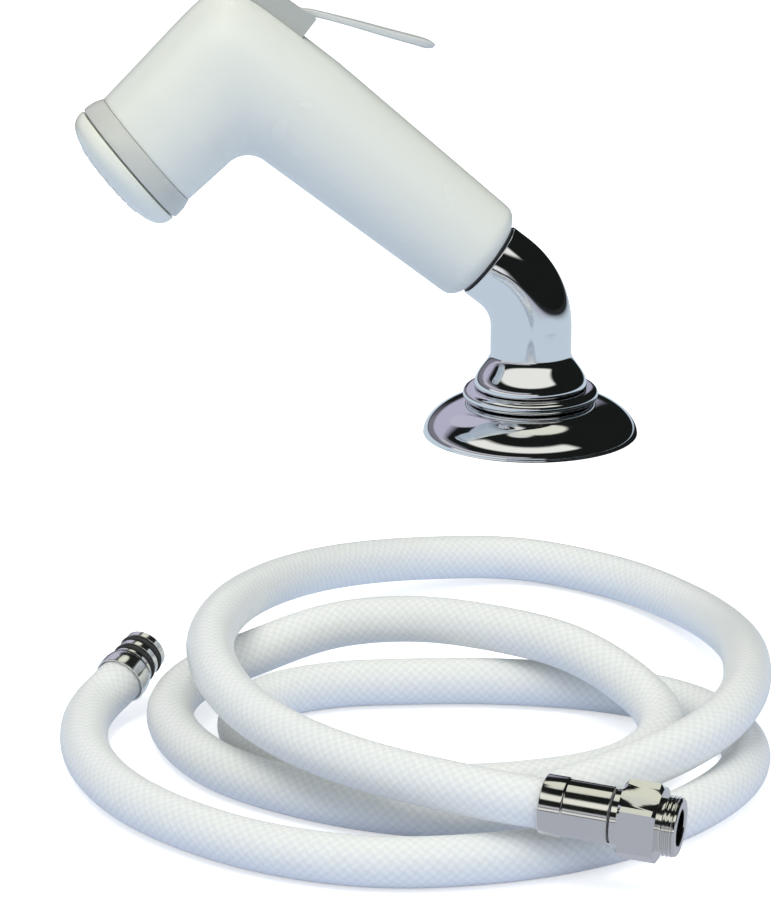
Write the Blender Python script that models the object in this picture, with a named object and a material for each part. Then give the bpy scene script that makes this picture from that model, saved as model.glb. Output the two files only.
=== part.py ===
"""Deck-mounted hand spray: a thumb-lever spray head, its elbow holder and a loose coiled supply hose.

Units are metres and +Z is up. The origin is the centre of the holder's flange on the deck, -Y is the
front, and the hand spray leans out of its holder towards -X. Three working frames are used besides:
the socket frame (+Z out of the holder's mouth), the handset frame (the same, turned about that axis,
+X on the lever's side) and the face frame (+Z along the spray).
"""
import math

import bmesh
import bpy
from mathutils import Matrix, Vector

GAP = 0.0003                    # running or seating gap between pieces that touch
ROUND_LARGE = 28                # sides of the large turned pieces
ROUND_SMALL = 18                # sides of the small ones
ROUND_TINY = 12                 # sides of pins, bores and seals

# ---- holder -------------------------------------------------------------------------------------
PLATE_CLEARANCE = 0.0012        # between the mounting plate's edge and the gasket round it
PLATE_THICKNESS = 0.0018
PLATE_SCREW_EDGE = 0.0070       # from the plate's edge to its screw holes
PLATE_SCREW_HOLE = 0.0022
PLATE_SCREWS = 3
HUB_TOP = 0.0220                # threaded hub that stands up from the plate into the elbow
PASSAGE_RADIUS = 0.0096         # hose passage through the hub
HUB_WALL = 0.0013
FLANGE_RADIUS = 0.0353
FLANGE_LIP = 0.0016             # upright edge of the flange where it meets the deck
FLANGE_SEAT_HEIGHT = 0.01105    # flat seat on the flange, under the neck ring
FLANGE_SEAT_INSET = 0.00175     # the seat is this much smaller than the neck ring on it
FLANGE_WALL = 0.0020
GASKET_WIDTH = 0.0048
GASKET_THICKNESS = 0.0016
NECK_RING_STEP = 0.00375        # how far the neck ring stands out from the bell
NECK_RING_THICKNESS = 0.0045
SPIGOT_WALL = 0.0018            # foot of the elbow, inside ring and flange
SPIGOT_FOOT = 0.0030
BELL_FLARE = 0.0052             # how far the elbow's skirt spreads
BELL_HEIGHT = 0.0112
ELBOW_WALL = 0.0021
ELBOW_BEND_START = 0.0364       # height at which the vertical tube starts to bend
ELBOW_BEND_RADIUS = 0.0233
ELBOW_ANGLE = math.radians(52.0)
ELBOW_REACH = 0.0059            # straight length from the bend to the mouth
LINER_LIP = 0.0009
LINER_LENGTH = 0.0088
LINER_WALL = 0.0016

# ---- handset: inlet tail --------------------------------------------------------------------------
TAIL_LENGTH = 0.0120            # what reaches into the socket
TAIL_NECK_RADIUS = 0.0072       # through the handle's end wall
TAIL_SPIGOT_RADIUS = 0.0055     # into the water tube
TAIL_SPIGOT_END = 0.0160
TAIL_SPIGOT_START = 0.0062
TAIL_INLET_DEPTH = 0.0100
TAIL_BORE_RADIUS = 0.0030
TAIL_GROOVE_DEPTH = 0.0010      # groove that the clip sits in
CLIP_THICKNESS = 0.0011
CLIP_RADIUS = 0.0095
SEAL_SECTION = 0.00075          # radius of an O-ring's section
SCREEN_THICKNESS = 0.0008
SCREEN_HOLE = 0.00075
WASHER_THICKNESS = 0.0010

# ---- handset: moulded body --------------------------------------------------------------------------
HANDSET_TURN = math.radians(8.0)    # the handset stands turned a little in its socket
HANDLE_LENGTH = 0.0770              # end face to the start of the head's bend
HANDLE_END_RADIUS = 0.0131
HANDLE_RADIUS = 0.0172              # just past the rounded end
HANDLE_HEAD_RADIUS = 0.0199         # where the handle runs into the head
HANDLE_ROUNDING = 0.0060
HANDLE_DRIFT = 0.0013               # the handle's middle line leans this far to the lever's side
END_WALL = 0.0032
WALL = 0.0026
INNER_FILLET = 0.0090               # radius under the bend between handle and head
HEAD_SWELL = 0.0005                 # the head at the end of its bend is this much larger than at the face
HEAD_ANGLE = math.radians(84.0)     # from the handle's cross-section to the head's
CORNER_POWER = 9.5                  # how square the back corner is
FACE_STEP = 0.0015                  # step from the head in to the neck that carries the ring
FACE_TILT = math.radians(12.5)      # the spray leans this much away from the handle
FACE_DEPTH = 0.0384                 # from the handle's axis down to the face
FACE_RISE = 0.0020                  # the face's middle lies this far behind the head's middle line
NECK_RADIUS = 0.0196
NECK_WALL = 0.0024
NECK_LENGTH = 0.0055
POCKET_DEPTH = 0.0019               # pocket on top of the head that the lever's bracket sits in
POCKET_AHEAD = 0.0064               # from the valve's axis to the pocket's front
BED_THICKNESS = 0.0030              # the wall is thicker under that pocket

# ---- handset: valve -----------------------------------------------------------------------------------
VALVE_SETBACK = 0.0210          # from the end of the handle's straight length to the valve's axis
VALVE_BORE = 0.0069
VALVE_CEILING = 0.0016          # left of the body over the valve's cap
BOSS_WALL = 0.0023
BOSS_BOTTOM = -0.0109
HOUSING_SEAT = -0.0106
HOUSING_WAIST = 0.0052          # radius at the ports
SPRING_CHAMBER = 0.0045
WATER_CHAMBER = 0.0042
SEAT_BORE = 0.0029
WEB_TOP = 0.0058
WEB_BOTTOM = 0.0025
PORT_RADIUS = 0.0020
CAP_THICKNESS = 0.0017
STEM_RADIUS = 0.0016
STEM_NOSE = 0.0012              # how far the stem's rounded nose reaches
COLLAR_RADIUS = 0.0041
COLLAR_THICKNESS = 0.0012
STEM_FOOT_RADIUS = 0.0011
DISC_RADIUS = 0.0042
DISC_THICKNESS = 0.0017
SPRING_WIRE = 0.0004            # radius of the wire
SPRING_RADIUS = 0.0031          # to the middle of the wire
SPRING_TURNS = 5
TUBE_RADIUS = 0.0072            # water tube in the handle
TUBE_WALL = 0.0011
FUNNEL_WALL = 0.0017
FUNNEL_CLEARANCE = 0.0005

# ---- handset: face --------------------------------------------------------------------------------------
RING_SWELL = 0.0015             # the ring's widest part against the head's end
RING_COVER = 0.0018             # how far the ring reaches past the neck
PLATE_GROOVE = 0.0004           # shadow gap between the ring and the spray plate
DOME_INSET = 0.0002
DOME_HEIGHT = 0.0089
DOME_WALL = 0.0020
CHAMBER_WALL = 0.0030           # skirt of the spray plate
DIFFUSER_BASE = 0.0016
DIFFUSER_THICKNESS = 0.0014
GASKET_HEIGHT = 0.0010
JET_RADIUS = 0.00065
JET_SIDES = 6
JET_COUNTS = (6, 12, 18)        # jets in each ring, and one in the middle
DIFFUSER_HOLE = 0.0012

# ---- lever -------------------------------------------------------------------------------------------------
LEVER_ARM = 0.0110              # from the valve's axis back to the pivot
PIVOT_RISE = 0.0041             # pivot over the bracket's base
PIN_RADIUS = 0.0012
LEVER_HALF_WIDTH = 0.0034       # between the bracket's cheeks
BARREL_RADIUS = 0.0027
# Lever outline from the pivot to the tip: distance from the pivot, top and underside over the pivot, and
# how much wider than between the cheeks.
LEVER_SECTIONS = (
    (0.0000, 0.0024, 0.0001, 0.0000),
    (0.0050, 0.0025, 0.0004, 0.0000),
    (0.0110, 0.0027, 0.0005, 0.0000),
    (0.0145, 0.0046, 0.0022, 0.0000),
    (0.0190, 0.0066, 0.0043, 0.0005),
    (0.0237, 0.0086, 0.0063, 0.0013),
    (0.0295, 0.0111, 0.0086, 0.0019),
    (0.0390, 0.0150, 0.0122, 0.0024),
    (0.0470, 0.0184, 0.0154, 0.0025),
    (0.0507, 0.0197, 0.0168, 0.0018),
    (0.0527, 0.0199, 0.0183, 0.0004),
)
CHEEK_THICKNESS = 0.0016
BASE_THICKNESS = 0.0012
# Bracket outline from its front to its back: distance past the pivot, height of the cheeks over it.
BRACKET_SECTIONS = (
    (-0.0171, 0.0030),
    (-0.0160, 0.0034),
    (-0.0115, 0.0026),
    (-0.0050, 0.0024),
    (0.0000, 0.0036),
    (0.0035, 0.0025),
    (0.0065, -0.0001),
    (0.0090, -0.0023),
)
SCREW_BEHIND = 0.0052           # from the pivot back to the bracket's screw
SCREW_BOSS_WALL = 0.0022
SCREW_HEAD_RADIUS = 0.0026
SCREW_HEAD_HEIGHT = 0.0015
SCREW_RADIUS = 0.0012
SCREW_LENGTH = 0.0085

# ---- hose -------------------------------------------------------------------------------------------------------
HOSE_RADIUS = 0.0063
FERRULE_LENGTH = 0.0172
FERRULE_WALL = 0.0005
FERRULE_COLLAR = 0.0056         # length of the ferrule's thicker end
FERRULE_COLLAR_WALL = 0.0009
UNION_COLLAR_LENGTH = 0.0022    # plain collar between the ferrule and the hexagon
UNION_HEX = 0.0180              # across flats
UNION_HEX_LENGTH = 0.0095
UNION_GROOVE = 0.0009
UNION_THREAD_RADIUS = 0.0074
UNION_THREAD_LENGTH = 0.0038
UNION_BORE = 0.0045
PLUG_SLEEVE_LENGTH = 0.0056
PLUG_HOSE_DEPTH = 0.0024        # how far the hose goes into the sleeve
PLUG_FLANGE_THICKNESS = 0.0011  # shoulder on the nipple that keeps it in the sleeve
PLUG_FLANGE_RADIUS = 0.0055
PLUG_NECK_RADIUS = 0.0045
PLUG_RADIUS = 0.0060
PLUG_LENGTH = 0.0091
PLUG_BORE = 0.0024
PLUG_SEAL_SECTION = 0.0010
PLUG_SEAL_PLACES = (0.0019, 0.0055)         # middles of the two seals, from the nipple's shoulder
LOOP_POINTS = 24                # points of the hose's solid in one loop of the coil
# Stations along the middle of the hose, from the union's ferrule to the plug: two and a half loops
# thrown down by hand, crossing over each other at the left and the right.
HOSE_STATIONS = (
    (-0.0090, -0.3865, 0.0209), (-0.0240, -0.3819, 0.0219), (-0.0530, -0.3630, 0.0220),
    (-0.0740, -0.3410, 0.0226), (-0.0880, -0.3140, 0.0238), (-0.0940, -0.2820, 0.0248),
    (-0.0900, -0.2510, 0.0244), (-0.0780, -0.2150, 0.0200), (-0.0600, -0.1840, 0.0145),
    (-0.0360, -0.1620, 0.0095), (-0.0080, -0.1550, 0.0070), (0.0200, -0.1720, 0.0066),
    (0.0380, -0.2020, 0.0085), (0.0470, -0.2400, 0.0135), (0.0485, -0.2800, 0.0195),
    (0.0445, -0.3120, 0.0210), (0.0340, -0.3350, 0.0200), (0.0190, -0.3500, 0.0180),
    (0.0000, -0.3590, 0.0140), (-0.0220, -0.3600, 0.0082), (-0.0450, -0.3540, 0.0065),
    (-0.0700, -0.3420, 0.0065), (-0.0925, -0.3210, 0.0065), (-0.1045, -0.2880, 0.0065),
    (-0.1000, -0.2640, 0.0080), (-0.0820, -0.2490, 0.0115), (-0.0620, -0.2410, 0.0160),
    (-0.0400, -0.2440, 0.0190), (-0.0180, -0.2550, 0.0201), (0.0020, -0.2690, 0.0194),
    (0.0165, -0.2845, 0.0155), (0.0240, -0.3010, 0.0122), (0.0225, -0.3165, 0.0100),
    (0.0110, -0.3295, 0.0078), (-0.0100, -0.3370, 0.0067), (-0.0340, -0.3395, 0.0065),
    (-0.0520, -0.3350, 0.0065), (-0.0690, -0.3260, 0.0065), (-0.0815, -0.3095, 0.0065),
    (-0.0855, -0.2900, 0.0065), (-0.0790, -0.2730, 0.0065), (-0.0630, -0.2630, 0.0065),
    (-0.0420, -0.2600, 0.0065), (-0.0150, -0.2600, 0.0065), (0.0140, -0.2670, 0.0065),
    (0.0350, -0.2815, 0.0065), (0.0455, -0.3060, 0.0065), (0.0430, -0.3300, 0.0065),
    (0.0280, -0.3550, 0.0065), (0.0050, -0.3750, 0.0065), (-0.0220, -0.3860, 0.0065),
    (-0.0520, -0.3880, 0.0065), (-0.0820, -0.3760, 0.0065), (-0.1090, -0.3500, 0.0065),
    (-0.1230, -0.3210, 0.0065), (-0.1265, -0.2950, 0.0066), (-0.1245, -0.2795, 0.0071),
    (-0.1188, -0.2690, 0.0100),
)
UNION_DIRECTION = (0.953, -0.293, -0.066)   # from the hose to the union's nose
PLUG_DIRECTION = (0.450, 0.820, 0.350)      # from the hose to the plug's nose

# ---- values worked out from those above -----------------------------------------------------------------------
HUB_RADIUS = PASSAGE_RADIUS + HUB_WALL
ELBOW_BORE = HUB_RADIUS + GAP
ELBOW_RADIUS = ELBOW_BORE + ELBOW_WALL
SPIGOT_RADIUS = ELBOW_BORE + SPIGOT_WALL
BELL_RADIUS = ELBOW_RADIUS + BELL_FLARE
NECK_RING_RADIUS = BELL_RADIUS + NECK_RING_STEP
FLANGE_SEAT_RADIUS = NECK_RING_RADIUS - FLANGE_SEAT_INSET
SKIRT_RADIUS = FLANGE_RADIUS - FLANGE_WALL
GASKET_OUTSIDE = SKIRT_RADIUS - GAP
GASKET_INSIDE = GASKET_OUTSIDE - GASKET_WIDTH
PLATE_RADIUS = GASKET_INSIDE - PLATE_CLEARANCE
PLATE_SCREW_CIRCLE = PLATE_RADIUS - PLATE_SCREW_EDGE
RING_BOTTOM = FLANGE_SEAT_HEIGHT + GAP
BELL_BOTTOM = RING_BOTTOM + NECK_RING_THICKNESS + GAP
LINER_RADIUS = ELBOW_BORE - GAP
LINER_BORE = LINER_RADIUS - LINER_WALL
MOUTH_SINK = LINER_LIP + 2 * GAP            # the elbow's rim lies this far below the handle's end
TAIL_RADIUS = LINER_BORE - GAP
TAIL_INLET_RADIUS = PLUG_RADIUS + 2 * GAP       # takes the plug on the hose's end
FACE_RADIUS = NECK_RADIUS + FACE_STEP       # where the ring meets the head
HEAD_RADIUS = FACE_RADIUS + HEAD_SWELL
FACE_ALONG = HANDLE_LENGTH + INNER_FILLET + HEAD_RADIUS + FACE_RISE    # from the handle's end to the face
VALVE_ALONG = HANDLE_LENGTH + VALVE_SETBACK
PIVOT_ALONG = VALVE_ALONG + LEVER_ARM
SCREW_ALONG = PIVOT_ALONG + SCREW_BEHIND
POCKET_START = VALVE_ALONG - POCKET_AHEAD
POCKET_FLOOR = HANDLE_DRIFT + HANDLE_HEAD_RADIUS - POCKET_DEPTH
BASE_BOTTOM = POCKET_FLOOR + GAP
BASE_TOP = BASE_BOTTOM + BASE_THICKNESS
PIVOT_HEIGHT = BASE_TOP + PIVOT_RISE
CAP_TOP = POCKET_FLOOR - VALVE_CEILING - GAP
HOUSING_TOP = CAP_TOP - CAP_THICKNESS - GAP
STEM_TIP = PIVOT_HEIGHT + LEVER_SECTIONS[2][2] - GAP       # just under the lever
HOUSING_RADIUS = VALVE_BORE - GAP
BOSS_RADIUS = VALVE_BORE + BOSS_WALL
TUBE_BORE = TUBE_RADIUS - TUBE_WALL
TUBE_START = TAIL_SPIGOT_START + 0.0008
TUBE_END = VALVE_ALONG - VALVE_BORE - 0.0004
CHEEK_INSIDE = LEVER_HALF_WIDTH + GAP
CHEEK_OUTSIDE = CHEEK_INSIDE + CHEEK_THICKNESS
PIN_HOLE = PIN_RADIUS + GAP
STEM_BORE = STEM_RADIUS + GAP
NECK_BORE = NECK_RADIUS - NECK_WALL
FUNNEL_MOUTH_RADIUS = NECK_BORE - FUNNEL_CLEARANCE
FUNNEL_RIM = FUNNEL_MOUTH_RADIUS - FUNNEL_WALL
RING_RADIUS = FACE_RADIUS + RING_SWELL
RING_HEIGHT = NECK_LENGTH + RING_COVER
PLATE_BASE = RING_HEIGHT + PLATE_GROOVE     # height of the spray plate's rim above the head
DOME_RADIUS = RING_RADIUS - DOME_INSET
JET_PITCH = DOME_RADIUS * 0.1875            # between the rings of jets
JET_RINGS = [(count, JET_PITCH * (index + 1)) for index, count in enumerate(JET_COUNTS)]
GASKET_BASE = NECK_LENGTH + GAP


# ---- tools ----------------------------------------------------------------------------------------------------------

def clear_scene():
    for obj in list(bpy.data.objects):
        bpy.data.objects.remove(obj)


def material(name, colour, roughness, metallic=0.0):
    made = bpy.data.materials.new(name)
    made.use_nodes = True
    shader = made.node_tree.nodes["Principled BSDF"]
    shader.inputs["Base Color"].default_value = (*colour, 1.0)
    shader.inputs["Roughness"].default_value = roughness
    shader.inputs["Metallic"].default_value = metallic
    return made


def frame(name, matrix):
    """An empty that carries the pieces made in its frame."""
    empty = bpy.data.objects.new(name, None)
    bpy.context.scene.collection.objects.link(empty)
    empty.matrix_world = matrix
    return empty


def add_object(name, data, parent, finish=None):
    obj = bpy.data.objects.new(name, data)
    bpy.context.scene.collection.objects.link(obj)
    obj.parent = parent
    if finish:
        data.materials.append(finish)
    return obj


def skin(name, rings, parent, finish=None, closed=False):
    """One closed body through rings of points. Closed joins the last ring to the first."""
    mesh = bmesh.new()
    rows = [[mesh.verts.new(point) for point in ring] for ring in rings]
    pairs = list(zip(rows, rows[1:]))
    if closed:
        pairs.append((rows[-1], rows[0]))
    for lower, upper in pairs:
        for index in range(len(lower)):
            after = (index + 1) % len(lower)
            mesh.faces.new((lower[index], lower[after], upper[after], upper[index]))
    if not closed:
        mesh.faces.new(rows[0])
        mesh.faces.new(rows[-1])
    bmesh.ops.recalc_face_normals(mesh, faces=mesh.faces)
    data = bpy.data.meshes.new(name)
    mesh.to_mesh(data)
    mesh.free()
    data.shade_smooth()
    data.set_sharp_from_angle(angle=math.radians(35.0))
    return add_object(name, data, parent, finish)


def circle(radius, height, sides, centre=(0.0, 0.0)):
    turn = 2 * math.pi / sides
    return [Vector((centre[0] + radius * math.cos(turn * k), centre[1] + radius * math.sin(turn * k), height))
            for k in range(sides)]


def turned(name, outline, parent, finish=None, sides=ROUND_SMALL, bored=False, start=0.0):
    """A turned piece: outline holds (radius, height) points. Bored joins its end to its start."""
    spin = Matrix.Rotation(start, 3, "Z")
    rings = [[spin @ point for point in circle(radius, height, sides)] for radius, height in outline]
    return skin(name, rings, parent, finish, closed=bored)


def washer(name, inner, outer, low, high, parent, finish=None, sides=ROUND_SMALL):
    outline = ((inner, low), (outer, low), (outer, high), (inner, high))
    return turned(name, outline, parent, finish, sides, bored=True)


def o_ring(name, radius, section, height, parent, finish, sides=ROUND_SMALL, steps=6):
    outline = []
    for step in range(steps):
        angle = 2 * math.pi * step / steps
        outline.append((radius + section * math.cos(angle), height + section * math.sin(angle)))
    return turned(name, outline, parent, finish, sides, bored=True)


def rod(name, radius, low, high, parent, finish=None, sides=ROUND_TINY):
    return turned(name, ((radius, low), (radius, high)), parent, finish, sides)


def prism(name, corners, low, high, parent, finish=None):
    """A straight block: corners are (x, y) points, from low to high along Z."""
    rings = [[Vector((x, y, height)) for x, y in corners] for height in (low, high)]
    return skin(name, rings, parent, finish)


def box(name, low, high, parent):
    corners = ((low[0], low[1]), (high[0], low[1]), (high[0], high[1]), (low[0], high[1]))
    return prism(name, corners, low[2], high[2], parent)


def as_cutter(obj):
    obj.hide_render = True
    obj.display_type = "WIRE"
    return obj


def combine(target, other, operation):
    modifier = target.modifiers.new(other.name, "BOOLEAN")
    modifier.operation = operation
    modifier.object = as_cutter(other)
    modifier.solver = "EXACT"


def cut(target, cutter):
    combine(target, cutter, "DIFFERENCE")


def add(target, other):
    combine(target, other, "UNION")


def joined_rods(name, places, radius, low, high, parent, sides):
    """Many separate rods in one cutter mesh."""
    mesh = bmesh.new()
    for x, y in places:
        rows = [[mesh.verts.new(p) for p in circle(radius, height, sides, (x, y))] for height in (low, high)]
        for index in range(sides):
            after = (index + 1) % sides
            mesh.faces.new((rows[0][index], rows[0][after], rows[1][after], rows[1][index]))
        mesh.faces.new(rows[0])
        mesh.faces.new(rows[1])
    bmesh.ops.recalc_face_normals(mesh, faces=mesh.faces)
    data = bpy.data.meshes.new(name)
    mesh.to_mesh(data)
    mesh.free()
    return add_object(name, data, parent)


def quarter_arch(inner, outer, low, high, power, steps):
    """Outline points of a dome from (outer, low) up to (inner, high), squarer with a higher power."""
    points = []
    for step in range(steps + 1):
        angle = 0.5 * math.pi * step / steps
        across = math.cos(angle) ** (2 / power) if step < steps else 0.0
        up = math.sin(angle) ** (2 / power) if step else 0.0
        points.append((inner + (outer - inner) * across, low + (high - low) * up))
    return points


def ring_places(rings):
    places = []
    for count, radius in rings:
        for index in range(count):
            angle = 2 * math.pi * index / count
            places.append((radius * math.cos(angle), radius * math.sin(angle)))
    return places


# ---- frames -----------------------------------------------------------------------------------------------------------

def elbow_centre(along):
    """Middle and tilt of the elbow at a distance along its path from the start of the bend."""
    arc = ELBOW_BEND_RADIUS * ELBOW_ANGLE
    tilt = min(max(along, 0.0), arc) / ELBOW_BEND_RADIUS
    x = -ELBOW_BEND_RADIUS * (1 - math.cos(tilt))
    z = ELBOW_BEND_START + ELBOW_BEND_RADIUS * math.sin(tilt)
    over = along - arc if along > arc else min(along, 0.0)
    return Vector((x - over * math.sin(tilt), 0.0, z + over * math.cos(tilt))), tilt


def leaning(origin, tilt):
    return Matrix.Translation(origin) @ Matrix.Rotation(-tilt, 4, "Y")


def aimed(origin, direction):
    """A frame at origin whose +Z points along direction."""
    return Matrix.Translation(origin) @ Vector(direction).to_track_quat("Z", "Y").to_matrix().to_4x4()


def make_frames():
    arc = ELBOW_BEND_RADIUS * ELBOW_ANGLE
    handle_end, tilt = elbow_centre(arc + ELBOW_REACH + MOUTH_SINK)
    socket = leaning(handle_end, tilt)
    handset = socket @ Matrix.Rotation(HANDSET_TURN, 4, "Z")
    upright = Matrix(((0, 0, 1, 0), (0, 1, 0, 0), (-1, 0, 0, 0), (0, 0, 0, 1)))
    valve = handset @ Matrix.Translation((0, 0, VALVE_ALONG)) @ upright
    face = handset @ Matrix.Translation((-FACE_DEPTH, 0, FACE_ALONG)) @ face_matrix()
    pivot = handset @ Matrix.Translation((PIVOT_HEIGHT, 0, PIVOT_ALONG))
    union = aimed(Vector(HOSE_STATIONS[0]), UNION_DIRECTION)
    plug = aimed(Vector(HOSE_STATIONS[-1]), PLUG_DIRECTION)
    return {
        "holder": frame("holder_frame", Matrix.Identity(4)),
        "socket": frame("socket_frame", socket),
        "handset": frame("handset_frame", handset),
        "valve": frame("valve_frame", valve),
        "face": frame("face_frame", face),
        "pivot": frame("pivot_frame", pivot),
        "union": frame("union_frame", union),
        "plug": frame("plug_frame", plug),
    }


def face_matrix():
    """Turns the handset frame so that +Z is the spray's direction and +X the head's far side."""
    sine, cosine = math.sin(FACE_TILT), math.cos(FACE_TILT)
    return Matrix(((sine, 0, -cosine, 0), (0, 1, 0, 0), (cosine, 0, sine, 0), (0, 0, 0, 1)))


# ---- holder ------------------------------------------------------------------------------------------------------------

def make_holder(at, chrome, steel, rubber, dark):
    plate = turned(
        "mount_plate",
        (
            (PASSAGE_RADIUS, 0.0),
            (PLATE_RADIUS, 0.0),
            (PLATE_RADIUS, PLATE_THICKNESS),
            (HUB_RADIUS, PLATE_THICKNESS),
            (HUB_RADIUS, HUB_TOP),
            (PASSAGE_RADIUS, HUB_TOP),
        ),
        at["holder"], steel, ROUND_LARGE, bored=True,
    )
    holes = ring_places(((PLATE_SCREWS, PLATE_SCREW_CIRCLE),))
    cut(plate, joined_rods("plate_screw_holes", holes, PLATE_SCREW_HOLE, -PLATE_THICKNESS, 2 * PLATE_THICKNESS,
                           at["holder"], ROUND_TINY))

    washer("deck_gasket", GASKET_INSIDE, GASKET_OUTSIDE, 0.0, GASKET_THICKNESS, at["holder"], rubber, ROUND_LARGE)

    flange_bore = SPIGOT_RADIUS + GAP
    outside = quarter_arch(FLANGE_SEAT_RADIUS, FLANGE_RADIUS, FLANGE_LIP, FLANGE_SEAT_HEIGHT, 2.2, 6)
    inside = quarter_arch(FLANGE_SEAT_RADIUS, SKIRT_RADIUS, GASKET_THICKNESS + GAP,
                          FLANGE_SEAT_HEIGHT - FLANGE_WALL, 2.2, 4)
    outline = [(FLANGE_RADIUS, 0.0)] + outside + [(flange_bore, FLANGE_SEAT_HEIGHT)]
    outline += [(flange_bore, FLANGE_SEAT_HEIGHT - FLANGE_WALL)] + inside[::-1] + [(SKIRT_RADIUS, 0.0)]
    turned("flange_cover", outline, at["holder"], chrome, 36, bored=True)

    half = NECK_RING_THICKNESS / 2
    outline = [(flange_bore, RING_BOTTOM)]
    for step in range(7):
        angle = math.pi * (step / 6 - 0.5)
        outline.append((NECK_RING_RADIUS - half + half * math.cos(angle), RING_BOTTOM + half + half * math.sin(angle)))
    outline.append((flange_bore, RING_BOTTOM + NECK_RING_THICKNESS))
    turned("neck_ring", outline, at["holder"], chrome, 36, bored=True)

    make_elbow(at, chrome)
    liner_outline = (
        (LINER_BORE, -GAP),
        (ELBOW_RADIUS - 2 * GAP, -GAP),
        (ELBOW_RADIUS - 2 * GAP, -GAP - LINER_LIP),
        (LINER_RADIUS, -GAP - LINER_LIP),
        (LINER_RADIUS, -GAP - LINER_LIP - LINER_LENGTH),
        (LINER_BORE, -GAP - LINER_LIP - LINER_LENGTH),
    )
    turned("socket_liner", liner_outline, at["socket"], dark, ROUND_LARGE, bored=True)


def make_elbow(at, chrome):
    """Cast elbow: foot, bell skirt, upright tube, bend and mouth, with one passage through it."""
    bell_steps = 4
    upright = [(SPIGOT_RADIUS, SPIGOT_FOOT), (SPIGOT_RADIUS, BELL_BOTTOM), (BELL_RADIUS - 2 * GAP, BELL_BOTTOM)]
    for step in range(bell_steps + 1):
        share = step / bell_steps
        flare = 0.5 + 0.5 * math.cos(math.pi * share)
        height = BELL_BOTTOM + 2 * GAP + (BELL_HEIGHT - 2 * GAP) * share
        upright.append((ELBOW_RADIUS + (BELL_RADIUS - ELBOW_RADIUS) * flare ** 0.8, height))
    rings = [circle(radius, height, ROUND_LARGE) for radius, height in upright]
    arc = ELBOW_BEND_RADIUS * ELBOW_ANGLE
    bends = 6
    stations = [arc * step / bends for step in range(bends + 1)]
    stations += [arc + ELBOW_REACH - 2 * GAP]
    places = [(along, ELBOW_RADIUS) for along in stations] + [(arc + ELBOW_REACH, ELBOW_RADIUS - 2 * GAP)]
    places += [(arc + ELBOW_REACH, ELBOW_BORE)] + [(along, ELBOW_BORE) for along in stations[-2::-1]]
    for along, radius in places:
        centre, tilt = elbow_centre(along)
        turn = leaning(centre, tilt)
        rings.append([turn @ point for point in circle(radius, 0.0, ROUND_LARGE)])
    rings.append(circle(ELBOW_BORE, SPIGOT_FOOT, ROUND_LARGE))
    skin("elbow_socket", rings, at["holder"], chrome, closed=True)


# ---- inlet tail ------------------------------------------------------------------------------------------------------------

def make_tail(at, brass, steel, rubber):
    groove_low, groove_high = END_WALL, END_WALL + CLIP_THICKNESS + 2 * GAP
    groove_radius = TAIL_NECK_RADIUS - TAIL_GROOVE_DEPTH
    seal_radius = TUBE_BORE - GAP - SEAL_SECTION
    seal_floor = seal_radius - SEAL_SECTION - GAP
    seal_height = (TAIL_SPIGOT_START + TAIL_SPIGOT_END) / 2
    seal_half = SEAL_SECTION + GAP
    screen_floor = -TAIL_LENGTH + TAIL_INLET_DEPTH
    turned(
        "inlet_tail",
        (
            (TAIL_INLET_RADIUS, -TAIL_LENGTH),
            (TAIL_RADIUS - 2 * GAP, -TAIL_LENGTH),
            (TAIL_RADIUS, -TAIL_LENGTH + 2 * GAP),
            (TAIL_RADIUS, -GAP),
            (TAIL_NECK_RADIUS, -GAP),
            (TAIL_NECK_RADIUS, groove_low),
            (groove_radius, groove_low),
            (groove_radius, groove_high),
            (TAIL_NECK_RADIUS, groove_high),
            (TAIL_NECK_RADIUS, TAIL_SPIGOT_START),
            (TAIL_SPIGOT_RADIUS, TAIL_SPIGOT_START),
            (TAIL_SPIGOT_RADIUS, seal_height - seal_half),
            (seal_floor, seal_height - seal_half),
            (seal_floor, seal_height + seal_half),
            (TAIL_SPIGOT_RADIUS, seal_height + seal_half),
            (TAIL_SPIGOT_RADIUS, TAIL_SPIGOT_END),
            (TAIL_BORE_RADIUS, TAIL_SPIGOT_END),
            (TAIL_BORE_RADIUS, screen_floor),
            (TAIL_INLET_RADIUS, screen_floor),
        ),
        at["socket"], brass, ROUND_SMALL, bored=True,
    )
    washer("tail_clip", groove_radius + GAP, CLIP_RADIUS, groove_low + GAP, groove_high - GAP, at["socket"], steel)
    o_ring("tail_seal", seal_radius, SEAL_SECTION, seal_height, at["socket"], rubber)
    screen_radius = TAIL_INLET_RADIUS - GAP
    screen_top = screen_floor - GAP
    screen = rod("inlet_screen", screen_radius, screen_top - SCREEN_THICKNESS, screen_top, at["socket"], steel,
                 ROUND_SMALL)
    mesh_places = ring_places(((1, 0.0), (6, screen_radius * 0.4), (12, screen_radius * 0.75)))
    cut(screen, joined_rods("screen_holes", mesh_places, SCREEN_HOLE, screen_top - 2 * SCREEN_THICKNESS,
                            screen_top + SCREEN_THICKNESS, at["socket"], 6))
    washer_top = screen_top - SCREEN_THICKNESS - GAP
    washer("inlet_washer", TAIL_BORE_RADIUS, screen_radius, washer_top - WASHER_THICKNESS, washer_top,
           at["socket"], rubber)


# ---- handset body --------------------------------------------------------------------------------------------------------------

def handle_radius(along):
    radius = HANDLE_RADIUS + (HANDLE_HEAD_RADIUS - HANDLE_RADIUS) * along / HANDLE_LENGTH
    if along < HANDLE_ROUNDING:
        radius -= (HANDLE_RADIUS - HANDLE_END_RADIUS) * (1 - along / HANDLE_ROUNDING) ** 3
    return radius


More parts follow.
